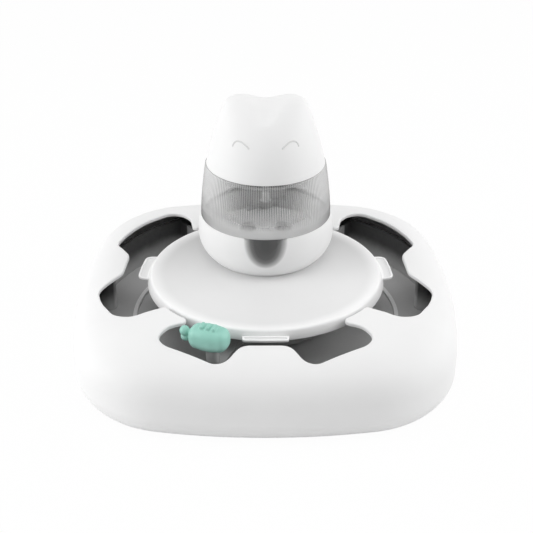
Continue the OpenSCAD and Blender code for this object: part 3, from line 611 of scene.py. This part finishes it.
def shellLip(skin, line, lipLine):
    # soft lip into the openings, then an upright edge and a flange under it
    n = len(line)
    into = [(b - a).normalized().to_3d() for a, b in zip(lipLine, line)]
    before = None
    for i in range(shell["lipSteps"] + 1):
        f = math.radians(90 * i / shell["lipSteps"])
        side, top = math.sin(f), math.cos(f)
        rows = [(p, *domeAt(p)) for p in grown(line, -shell["lip"] * (1 - side))]
        start = skin.ring([((p.x, p.y, z - shell["lip"] * (1 - top)), up * top + to * side)
                           for (p, z, up), to in zip(rows, into)])
        if before is not None:
            skin.band(before, start, n)
        before = start
    low = [(p.x, p.y, z - shell["edge"]) for p, z, up in rows]
    skin.band(before, skin.ring(zip(low, into)), n)
    down = Vector((0, 0, -1))
    under = skin.ring([(p, down) for p in low])
    skin.band(under, skin.ring([((q.x, q.y, p[2]), down) for p, q in zip(low, lipLine)]), n)


def shellSide(skin):
    # shoulder, wall, tuck and bottom edge swept round the plan, as inset, height and normal
    section = []
    for i in range(shell["shoulderSteps"] + 1):
        f = shoulder + (math.pi / 2 - shoulder) * i / shell["shoulderSteps"]
        inset, z = shoulderR * (1 - math.sin(f)), shoulderZ + shoulderR * math.cos(f)
        section.append((inset, z, math.sin(f), math.cos(f)))
    for i in range(shell["tuckSteps"] + 1):
        f = math.asin(shell["tuckHeight"] / tuckR) * i / shell["tuckSteps"]
        inset, z = tuckR * (1 - math.cos(f)), tuckZ - tuckR * math.sin(f)
        section.append((inset, z, math.cos(f), -math.sin(f)))
    bottom = [(shell["tuckIn"] + more, shell["ground"], 0, -1) for more in (0, shell["groundWidth"])]
    for rows in (section, bottom):
        before = None
        for inset, z, side, up in rows:
            plan = planRing(inset)
            start = skin.ring([((p.x, p.y, z), (out * side).to_3d() + Vector((0, 0, up))) for p, out in plan])
            if before is not None:
                skin.band(start, before, len(plan))
            before = start


skin = Skin()
openLine = holeLine()
lipLine = grown(openLine, -shell["lip"])
shellTop(skin, lipLine)
shellLip(skin, openLine, lipLine)
shellSide(skin)
piece("shell_skin", skin.points, skin.faces, "base", ["base_shell"], "white_plastic", white, skin.normals)


print("plate")
plate = dict(radius=88, rim=56, top=53, under=50.5, edge=4, lean=2.6, crown=2.2, crownRun=78, dish=34,
             skirt=((83, 50.5), (84.8, 48.4), (85.4, 48), (87, 48), (87.8, 48.5), (88, 49.2)),
             rings=(81, 78, 75, 71, 66, 60, 52, 44, 34, 20), pin=0.2, sides=240)
# tabSunkShade is painted shade on the sunk tab floors; backCupShadow is a painted shadow of the cup over the
# back of the dish
plateLook = dict(rimWhite=0.92, dishWhite=0.78, rimFrom=86, dishFrom=74, wobble=3, tabSunkShade=0.1, tabFrom=0.4,
                 sunkFrom=0.3, sunkTo=0.2, backCupShadow=0.24, backStart=-10, backEnd=75, worn=30, wornSwing=0.03,
                 rough=0.42, roughSwing=0.12, gloss=0.25, grain=900, depth=0.01)


def dishZ(r):
    # shallow dish that runs up to the rim with no step
    f = max(0, r - plate["dish"]) / (plate["radius"] - plate["edge"] - plate["dish"])
    return plate["top"] + (plate["rim"] - plate["top"]) * f * f


def plateProfile():
    # underside, skirt, rounded crown and dish, from the middle out and back
    skirt = [Vector(p) for p in plate["skirt"]]
    rim = Vector((plate["radius"] - plate["lean"], plate["rim"]))
    crown = fillet(skirt[-1], rim, Vector((plate["crownRun"], dishZ(plate["crownRun"]))), plate["crown"])
    dish = [Vector((r, dishZ(r))) for r in (*plate["rings"], plate["pin"])]
    return [Vector((plate["pin"], plate["under"]))] + skirt + crown + dish


tab = dict(length=32.4, low=50.8, top=52.4, bevel=0.4, soften=0.3, border=1.1, sink=1, sinkEdge=(0.3, 0.2),
           sinkFoot=0.5, rootOut=1, rootIn=0.4, rootFillet=2, bow=0.6, step=1.2)
tabs = [dict(turn=270, corner=2.2, root=86.9, out=92.6, flare=0.2),
        dict(turn=173, corner=5.4, root=84, out=94.2, flare=1.2),
        dict(turn=7, corner=5.4, root=84, out=94.2, flare=1.2)]


def tabLine(corner, root, out, flare):
    # outline of a tab that points along x
    half = tab["length"] / 2
    foot = Vector((root, half + flare))
    side = Vector((plate["radius"] + tab["rootOut"], foot.y - tab["rootIn"]))
    end, tip = Vector((out, half)), Vector((out + tab["bow"], 0))
    upper = fillet(foot, side, end, tab["rootFillet"], n=4) + fillet(side, end, tip, corner, n=8)
    lower = [Vector((p.x, -p.y)) for p in [foot] + upper]
    return spread(lower + [tip] + upper[::-1] + [foot], tab["step"])


def tabMesh(turn, corner, root, out, flare):
    # finger tab with a raised border round a sunk middle
    line = tabLine(corner, root, out, flare)
    soften = tab["bevel"] * tab["soften"]
    edgeIn, edgeDown = tab["sinkEdge"]
    rows = [(0, tab["low"]), (0, tab["top"] - tab["bevel"]), (soften, tab["top"] - soften),
            (tab["bevel"], tab["top"]), (tab["border"], tab["top"]),
            (tab["border"] + edgeIn, tab["top"] - edgeDown),
            (tab["border"] + tab["sinkFoot"], tab["top"] - tab["sink"])]
    points = []
    for inset, z in rows:
        for p in grown(line, inset):
            points.append((*polar(p.length, turn + math.degrees(math.atan2(p.y, p.x))), z))
    return points, ringFaces(len(rows), len(line)) + caps(len(rows), len(line))


def plateTint(name):
    # white rim and a darker dish, with painted shade on the sunk floor of each tab and a painted shadow of
    # the cup over the back of the dish
    s = Shader(name)
    x, y, z = s.axes()
    r = away(x, y)
    worn = s.noise(plateLook["worn"], detail=4, rough=0.6)
    wavy = r + swing(worn, plateLook["wobble"] * mm)
    dish = s.fade(wavy, plateLook["rimFrom"], plateLook["dishFrom"], easy=True)
    # painted shade on the sunk floor of each tab
    out = s.math("GREATER_THAN", r, (plate["radius"] + plateLook["tabFrom"]) * mm)
    sunk = s.fade(z, tab["top"] - plateLook["sunkFrom"], tab["top"] - tab["sink"] + plateLook["sunkTo"])
    # painted shadow of the cup, darkening the dish towards the back
    back = s.fade(y, plateLook["backStart"], plateLook["backEnd"], easy=True)
    dull = plateLook["rimWhite"] - plateLook["dishWhite"]
    tone = plateLook["rimWhite"] - dish * dull - out * sunk * plateLook["tabSunkShade"]
    tone = tone + swing(worn, plateLook["wornSwing"]) - dish * back * plateLook["backCupShadow"]
    return s.finish({"Base Color": s.mix(tone, grey(0), grey(1)), "Specular IOR Level": plateLook["gloss"],
                     "Roughness": plateLook["rough"] + swing(worn, plateLook["roughSwing"]),
                     "Normal": s.bump(s.noise(plateLook["grain"], detail=2), plateLook["depth"])})


points, faces = joined([lathe(plateProfile(), plate["sides"])] + [tabMesh(**each) for each in tabs])
plateWhite = plateTint("plate_white")
piece("plate_skin", points, faces, "feeder", ["treat_plate"], "white_plastic", plateWhite, flat=50)


print("dispenser cup")
# rim rows go back from the face and up, then give the normal's way out and up
cup = dict(y=36, z=53, footR=40.5, bellyR=51.3, belly=22, height=34.7, rimR=49.2, footPower=2.4, foldR=50,
           rows=(0, 0.7, 1.6, 3, 5, 7.5, 10, 13, 16, 19, 22, 25, 28, 31, 34.1), slopeFrom=0.1,
           patchDeg=48, patchSteps=24, backSteps=120, keepOff=1,
           rim=((0, 0, 1, 0), (0.15, 0.4, 0.8, 0.6), (0.5, 0.6, 0.3, 0.95), (0.8, 0.6, 0, 1),
                (2.6, 0.6, 0, 1)))
# tones are painted shade, from the pale edge of the scoop to near black at its mouth
scoop = dict(half=16.2, drop=22.8, innerHalf=6.5, innerDrop=11.1, depth=3.2, steps=10, points=49, margin=0.5,
             shadeTones=((0, 0.84), (0.13, 0.48), (0.32, 0.17), (0.5, 0.085), (0.75, 0.075), (1, 0.065)),
             lowDeep=0.6, patch=90, patchSwing=0.03, rough=0.42, grain=900, depthGrain=0.01)
# a place on the cup is its height and u, the way round from the front as length at the radius foldR
cupTop = cup["rows"][-1]
cupRound = 2 * math.pi * cup["foldR"]
frontEnd = math.radians(cup["patchDeg"]) * cup["foldR"]
frontGrid = [frontEnd * (i / cup["patchSteps"] * 2 - 1) for i in range(cup["patchSteps"] + 1)]
backGrid = [frontEnd + (cupRound - 2 * frontEnd) * i / cup["backSteps"] for i in range(cup["backSteps"] + 1)]
scoopTurns = [math.pi * i / (scoop["points"] - 1) for i in range(scoop["points"])]


def cupR(h):
    # round foot, then a slight draw-in to the rim
    if h < cup["belly"]:
        fall = ((cup["belly"] - h) / cup["belly"]) ** cup["footPower"]
        return cup["bellyR"] - (cup["bellyR"] - cup["footR"]) * fall
    t = (h - cup["belly"]) / (cup["height"] - cup["belly"])
    return cup["bellyR"] - (cup["bellyR"] - cup["rimR"]) * t * t


def cupTurn(u):
    return 270 + math.degrees(u / cup["foldR"])


def cupPoint(u, h, depth=0.0):
    flat = polar(cupR(h) - depth, cupTurn(u))
    return Vector((flat.x, flat.y + cup["y"], cup["z"] + h))


def scoopPoint(t, k):
    # t runs round the scoop, k from its edge to its floor, which is painted dark as shade
    u = (scoop["half"] * (1 - k) + scoop["innerHalf"] * k) * math.cos(t)
    h = cupTop - (scoop["drop"] * (1 - k) + scoop["innerDrop"] * k) * math.sin(t)
    return cupPoint(u, h, scoop["depth"] * k * k * (3 - 2 * k))


def slope(make, a, b, step=0.05):
    # outward normal of a surface given by two numbers
    across = make(a + step, b) - make(a - step, b)
    along = make(a, b + step) - make(a, b - step)
    normal = across.cross(along).normalized()
    out = make(a, b) - Vector((0, cup["y"], make(a, b).z))
    return normal if normal.dot(out) > 0 else -normal


def cupRow(u, h):
    return cupPoint(u, h), slope(cupPoint, u, max(cup["slopeFrom"], h))


def cupFront(skin):
    # sheet with the scoop cut out of its top edge, bent round the front
    mouth = [Vector((scoop["half"] * math.cos(t), cupTop - scoop["drop"] * math.sin(t))) for t in scoopTurns]
    clearOf = scoop["half"] + scoop["margin"]
    edge = [Vector((u, 0)) for u in frontGrid]
    edge += [Vector((frontEnd, h)) for h in cup["rows"][1:]]
    edge += [Vector((u, cupTop)) for u in reversed(frontGrid[:-1]) if u > clearOf]
    edge += mouth
    edge += [Vector((u, cupTop)) for u in reversed(frontGrid) if -frontEnd < u < -clearOf]
    edge += [Vector((-frontEnd, h)) for h in reversed(cup["rows"][1:])]
    loose = [Vector((u, h)) for u in frontGrid[1:-1] for h in cup["rows"][1:-1]]
    loose = [p for p in loose if inside(p, edge) and min((p - q).length for q in mouth) > cup["keepOff"]]
    verts, tris = filled([edge], loose, lambda p: inside(p, edge))
    skin.patch([cupRow(p.x, p.y) for p in verts], tris)


def cupBack(skin):
    # the rest of the way round
    rows = [cupRow(u, h) for h in cup["rows"] for u in backGrid]
    skin.patch(rows, ringFaces(len(cup["rows"]), len(backGrid), False))


def cupRim(skin):
    # rounded rim that the clear ring stands in, open over the scoop
    front = [u for u in reversed(frontGrid) if abs(u) > scoop["half"] + scoop["margin"]]
    turns = [u if u > 0 else u + cupRound for u in front] + backGrid[1:-1]
    turns = sorted(turns + [scoop["half"], cupRound - scoop["half"]])
    rows = []
    for back, rise, out, up in cup["rim"]:
        for u in turns:
            p = cupPoint(u, cupTop, back) + Vector((0, 0, rise))
            rows.append((p, polar(out, cupTurn(u)).to_3d() + Vector((0, 0, up))))
    skin.patch(rows, ringFaces(len(cup["rim"]), len(turns), False))


skin = Skin()
cupFront(skin)
cupBack(skin)
cupRim(skin)
piece("cup_skin", skin.points, skin.faces, "feeder", ["dispenser_cup"], "white_plastic", white, skin.normals)


def scoopMesh(skin):
    # soft flare from the cup's face in to the mouth, darkened by painted shade
    rows = []
    for k in [j / scoop["steps"] for j in range(scoop["steps"] + 1)]:
        rows += [(scoopPoint(t, k), slope(scoopPoint, t, k)) for t in scoopTurns]
    skin.patch(rows, ringFaces(scoop["steps"] + 1, scoop["points"], False))


def scoopPaintedShade(name):
    # painted shade that deepens from the scoop's edge to its mouth, soonest along the middle
    s = Shader(name)
    x, y, z = s.axes()
    x = x / (scoop["half"] * mm)
    z = (z - (cup["z"] + cupTop) * mm) / (scoop["drop"] * mm)
    out = away(x, z)
    deep = (1 - out) * (1 + scoop["lowDeep"] * z * z / (out * out))
    deep = deep + swing(s.noise(scoop["patch"]), scoop["patchSwing"])
    stops = [(place, grey(tone)) for place, tone in scoop["shadeTones"]]
    tone = s.add("ShaderNodeValToRGB", {"stops": stops}, {0: deep})
    return s.finish({"Base Color": tone, "Roughness": scoop["rough"],
                     "Normal": s.bump(s.noise(scoop["grain"], detail=2), scoop["depthGrain"])})


skin = Skin()
scoopMesh(skin)
scoopShade = scoopPaintedShade("scoop_tint")
piece("spout_scoop", skin.points, skin.faces, "feeder", material=scoopShade, normals=skin.normals)


print("clear hopper")
hopper = dict(y=36, foot=49, low=87.7, top=128.05, topR=45, topBevel=0.4, bow=1.5, wall=2, sides=160,
              rib=0.2, ribFrom=6.6, ribRun=1.4, ribPoints=6,
              rows=(0, 0.4, 4, 6.6, 8, 12, 16, 20, 24, 28, 32, 36, 39, 40.2),
              lining=((46.4, 104), (46.2, 91.7), (44.5, 87.7), (44.5, 85.9), (46.4, 85.9), (46.5, 87.7)))


def hopperSkin():
    # bowed ring whose ribs start above its foot
    n = ribs["count"] * hopper["ribPoints"]
    height = hopper["top"] - hopper["low"]
    rows = []
    for h in hopper["rows"]:
        r = hopper["foot"] + (hopper["topR"] - hopper["foot"]) * (h / height) ** hopper["bow"]
        rows.append((r, h, hopper["rib"] * min(1, max(0, (h - hopper["ribFrom"]) / hopper["ribRun"]))))
    rows += [(hopper["topR"] - back, height, 0) for back in (hopper["topBevel"], hopper["wall"])]
    points = []
    for r, h, rib in rows:
        for j in range(n):
            a = 2 * math.pi * j / n
            out = r + rib * (math.cos(ribs["count"] * a) - 1)
            points.append((math.cos(a) * out, hopper["y"] + math.sin(a) * out, hopper["low"] + h))
    return points, ringFaces(len(rows), n)


def hopperLining():
    # inner face of the wall, down to the foot that stands in the cup
    profile = [(hopper["topR"] - hopper["wall"], hopper["top"]), *hopper["lining"]]
    return lathe(profile, hopper["sides"], (0, hopper["y"]))


piece("hopper_skin", *hopperSkin(), "feeder", ["hopper"], "clear_plastic", clearRibs, flat=60)
piece("hopper_lining", *hopperLining(), "feeder", slot="clear_plastic", material=clearLining, flat=60)


print("head")
# lip rows go down from the cut at the foot and back from its radius
head = dict(y=36, foot=128.2, height=52.4, footR=44.3, taper=0.2, bow=0.0022, dome=3, under=8, rings=16,
            lastRing=0.93, sides=96, earX=19.5, earR=12, earRings=12, earSides=48, voxel=0.9, rounds=16,
            hollow=2.8, hollowPower=1.5, scoop=1.6, valley=19, valleyFoot=38, valleyLeast=0.3,
            lip=0.5, lipRows=((0.35, 0.15), (0.5, 0.5), (0.5, 2.4)))


def headHalf(h):
    # half width and half depth of the head at a height
    wide = head["footR"] - head["taper"] * h - head["bow"] * h * h
    return wide, wide * math.sqrt(1 - max(0, h / head["height"]) ** head["dome"])


def headHull():
    # rings of the head and two balls for the ears, under one tight cover
    bm = bmesh.new()
    top = head["height"] * head["lastRing"]
    for h in [-head["under"]] + [top * i / (head["rings"] - 1) for i in range(head["rings"])]:
        wide, deep = headHalf(h)
        for j in range(head["sides"]):
            turn = polar(1, 360 * j / head["sides"])
            bm.verts.new(Vector((turn.x * wide, turn.y * deep + head["y"], head["foot"] + h)) * mm)
    turns = [math.pi * i / head["earRings"] for i in range(head["earRings"] + 1)]
    ear = [(head["earR"] * math.sin(t), head["earR"] * math.cos(t)) for t in turns]
    earZ = head["foot"] + head["height"] - head["earR"]
    for side in (-1, 1):
        for x, y, z in lathe(ear, head["earSides"], (side * head["earX"], head["y"]))[0]:
            bm.verts.new(Vector((x, y, earZ + z)) * mm)
    hull = bmesh.ops.convex_hull(bm, input=bm.verts)
    bmesh.ops.delete(bm, geom=list(set(hull["geom_interior"] + hull["geom_unused"])), context="VERTS")
    mesh = bpy.data.meshes.new("head_skin")
    bm.to_mesh(mesh)
    bm.free()
    return mesh


def valley(x, h):
    # hollow between the ears that narrows down the face
    rise = (h - head["valleyFoot"]) / (head["height"] - head["valleyFoot"])
    if rise <= 0:
        return 0
    rise = min(1, rise)
    width = head["valley"] * (head["valleyLeast"] + (1 - head["valleyLeast"]) * rise)
    across = min(1, abs(x) / width)
    deep = head["hollow"] * rise ** head["hollowPower"] + head["scoop"] * math.sin(math.pi * rise)
    return (1 - across * across) ** 2 * deep


def headSkin():
    # soft cover with its valley, cut level at the foot and turned in by a rounded lip
    bm = bmesh.new()
    bm.from_mesh(soft(headHull(), head["voxel"], head["rounds"]))
    bm.normal_update()
    moves = [(v, v.normal * valley(v.co.x / mm, v.co.z / mm - head["foot"]) * mm) for v in bm.verts]
    for v, move in moves:
        v.co -= move
    cut = head["foot"] + head["lip"]
    bmesh.ops.bisect_plane(bm, geom=bm.verts[:] + bm.edges[:] + bm.faces[:], clear_inner=True,
                           plane_no=(0, 0, 1), plane_co=(0, 0, cut * mm))
    for down, back in head["lipRows"]:
        rim = [e for e in bm.edges if e.is_boundary]
        made = bmesh.ops.extrude_edge_only(bm, edges=rim)["geom"]
        for v in [g for g in made if isinstance(g, bmesh.types.BMVert)]:
            out = Vector((v.co.x, v.co.y - head["y"] * mm)).normalized() * (head["footR"] - back)
            v.co = Vector((out.x, out.y + head["y"], cut - down)) * mm
    bmesh.ops.recalc_face_normals(bm, faces=bm.faces)
    bm.verts.index_update()
    points = [v.co / mm for v in bm.verts]
    faces = [[v.index for v in f.verts] for f in bm.faces]
    bm.free()
    return points, faces


points, faces = headSkin()
piece("head_skin", points, faces, "head", ["head_lid"], "white_plastic", white, flat=60)
headTree = BVHTree.FromPolygons(points, faces)


print("closed eyes")
# the line is seen from the front, as x and height
eyes = dict(line=[(-23.7, 152.3), (-22.9, 154.4), (-20.8, 156.2), (-17.5, 156.4), (-14.3, 154.7),
                  (-11.6, 152.6)], cuts=6, radius=0.6, sides=8, endSize=0.35, proud=0.5, sightY=-200)


def eyeMesh(side):
    # thin bar along the line, laid on the face
    path = curved([Vector(p) for p in eyes["line"]], eyes["cuts"])
    last = len(path) - 1
    points = []
    for i, p in enumerate(path):
        hit, normal, _, _ = headTree.ray_cast(Vector((p.x * side, eyes["sightY"], p.y)), Vector((0, 1, 0)))
        ahead = (path[min(i + 1, last)] - path[max(i - 1, 0)]).normalized()
        across = normal.cross(Vector((ahead.x * side, 0, ahead.y))).normalized()
        size = eyes["radius"] * (eyes["endSize"] if i in (0, last) else 1)
        for j in range(eyes["sides"]):
            a = 2 * math.pi * j / eyes["sides"]
            points.append(hit + across * math.cos(a) * size + normal * math.sin(a) * size * eyes["proud"])
    return points, ringFaces(len(path), eyes["sides"]) + caps(len(path), eyes["sides"])


points, faces = joined([eyeMesh(1), eyeMesh(-1)])
piece("eye_lines", points, faces, "head", material=eyeGrey)


print("teaser toy")
toy = dict(turn=250, orbit=105, shift=2.2, z=57.8, length=28.4, dia=17.6, round=6.5, slim=0.7, bulge=0.2,
           square=2.8, sides=48, pin=0.05, voxel=0.45, rounds=5)
tail = dict(ball=3.6, x=0.8, out=3.4, z=2.6, rings=10, sides=20, least=0.02, neck=2.2, neckIn=1, neckLength=5)
# a rib's dome is given by shares of its radius and how far they lie from its end
toyRib = dict(radius=1.5, length=7.5, start=-2.5, pitch=4.4, proud=0.5, sides=14, dome=((0.7, 0.3), (1, 1)))


def toyBody(r, half):
    # rounded bar along y, squared a little
    turn, bulge = toy["round"], half * toy["bulge"]
    outline = [Vector((toy["pin"], -half))] + arc((r - toy["slim"] - turn, turn - half), turn, -90, 0, n=8)
    outline += [Vector((r, -bulge)), Vector((r, bulge))]
    outline += arc((r - toy["slim"] - turn, half - turn), turn, 0, 90, n=8) + [Vector((toy["pin"], half))]
    points, faces = lathe(outline, toy["sides"], capped=True)
    k = toy["square"]
    squared = []
    for x, y, z in points:
        off = math.hypot(x, y)
        full = (abs(x / off) ** k + abs(y / off) ** k) ** (-1 / k)
        squared.append((x * full, z, -y * full))
    return squared, faces


def tailBall(centre):
    # one of the two balls of the tail
    turns = [math.pi * i / tail["rings"] for i in range(tail["rings"] + 1)]
    profile = [(max(tail["least"], tail["ball"] * math.sin(t)), -tail["ball"] * math.cos(t)) for t in turns]
    points, faces = lathe(profile, tail["sides"], capped=True)
    return [Vector(p) + Vector(centre) for p in points], faces


def tailNeck(half):
    # short neck from the body to the tail
    r, length = tail["neck"], tail["neckLength"]
    profile = [(toy["pin"], 0), (r, 0), (r, length), (toy["pin"], length)]
    points, faces = lathe(profile, tail["sides"], capped=True)
    return [(x, tail["neckIn"] - half - z, y) for x, y, z in points], faces


def ribMesh(move):
    # round bar with domed ends along x
    length = toyRib["length"]
    dome = [(toy["pin"], 0)] + [(toyRib["radius"] * wide, z) for wide, z in toyRib["dome"]]
    profile = dome + [(r, length - z) for r, z in reversed(dome)]
    points, faces = lathe(profile, toyRib["sides"], capped=True)
    return [Vector((z, y, -x)) + Vector(move) for x, y, z in points], faces


def toyMesh():
    r, half = toy["dia"] / 2, toy["length"] / 2
    parts = [toyBody(r, half), tailNeck(half)]
    parts += [tailBall((side * tail["x"], -half - tail["out"], side * tail["z"])) for side in (-1, 1)]
    parts += [ribMesh((toyRib["start"], i * toyRib["pitch"], r + toyRib["proud"])) for i in (-1, 0, 1)]
    points, faces = joined(parts)
    mesh = bpy.data.meshes.new("toy")
    mesh.from_pydata([p * mm for p in points], [], faces)
    return soft(mesh, toy["voxel"], toy["rounds"])


def toySkin():
    # the soft toy moved out to the end of its arm
    mesh = toyMesh()
    way = polar(1, toy["turn"])
    points = []
    for v in mesh.vertices:
        x, y, z = v.co / mm
        x, y = x + toy["orbit"], y - toy["shift"]
        points.append((x * way.x - y * way.y, x * way.y + y * way.x, z + toy["z"]))
    return points, [list(f.vertices) for f in mesh.polygons]


piece("toy_skin", *toySkin(), "teaser_arm", ["teaser_toy"], "mint_rubber", mint)


print("carried-over parts")
looks = {white: "base_pan", clearLining: "lid_collar", bowlGrey: "channel_bowl", drumGrey: "arm_rotor",
         # the chute wears the scoop's painted shade, so the tone runs on across the hood
         scoopShade: "chute", charcoal: "dose_deck", discGrey: "dose_disc", railGrey: "track_rail",
         acetal: "thrust_washer drive_gear arm_roller pinion", post: "agitator", frost: "hopper_floor",
         footRubber: "rubber_feet", clearPart: "teaser_stem lid_seal", brass: "rotor_bush shaft_bush",
         steel: "pan_screws spindle spindle_clip gear_screws roller_axle cup_screws dose_shaft"}
for material, names in looks.items():
    for name in names.split():
        nodes[name].data.materials.clear()
        nodes[name].data.materials.append(material)


print("camera, light and floor")
# places in metres, turns in degrees
view = dict(sensor=36, lens=81.05, place=(0.0006, -0.784, 0.4891), tilt=61.24)
lamps = dict(top=dict(place=(0, -0.1, 1.2), turn=(4, 0, 0), size=1.2, power=4.4),
             left=dict(place=(-1.1, -0.05, 0.65), turn=(0, -62, 0), size=0.9, power=2.5),
             leftLow=dict(place=(-1.07, -0.2, 0.3), turn=(0, -80, 10), size=0.5, power=3.9),
             right=dict(place=(1.1, -0.05, 0.65), turn=(0, 62, 0), size=0.9, power=5.1),
             rightBack=dict(place=(1, 0.35, 0.6), turn=(0, 62, 18), size=0.7, power=1.4))
backdrop = dict(half=6, dark=grey(0.85), light=grey(0.89), paper=40, rough=0.9, glow=0.97, fill=0.49)

camera = bpy.data.objects.new("camera", bpy.data.cameras.new("camera"))
camera.data.sensor_width = view["sensor"]
camera.data.lens = view["lens"]
camera.location = view["place"]
camera.rotation_euler = (math.radians(view["tilt"]), 0, 0)
bpy.context.scene.collection.objects.link(camera)
bpy.context.scene.camera = camera

for name, each in lamps.items():
    lamp = bpy.data.lights.new(name, "AREA")
    lamp.size, lamp.energy = each["size"], each["power"]
    holder = bpy.data.objects.new(name, lamp)
    holder.location = each["place"]
    holder.rotation_euler = [math.radians(a) for a in each["turn"]]
    bpy.context.scene.collection.objects.link(holder)

floorShader = Shader("floor_white")
shine = floorShader.add("ShaderNodeEmission", None, {"Color": grey(1), "Strength": 1.0})
paper = floorShader.mix(floorShader.noise(backdrop["paper"]), backdrop["dark"], backdrop["light"])
floorShader.finish({"Base Color": paper, "Roughness": backdrop["rough"]})
floorShader.blend(floorShader.sight() * backdrop["glow"], shine)
mesh = bpy.data.meshes.new("floor")
corners = [(x * backdrop["half"], y * backdrop["half"], 0) for x, y in ((-1, -1), (1, -1), (1, 1), (-1, 1))]
mesh.from_pydata(corners, [], [(0, 1, 2, 3)])
mesh.materials.append(floorShader.material)
floor = bpy.data.objects.new("floor", mesh)
bpy.context.scene.collection.objects.link(floor)

world = Shader(bpy.data.worlds.new("studio"))
strength = backdrop["fill"] + world.sight() * (1 - backdrop["fill"])
world.put(world.nodes["Background"], {"Color": grey(1), "Strength": strength})
bpy.context.scene.world = world.material
bpy.context.scene.view_settings.view_transform = "Standard"
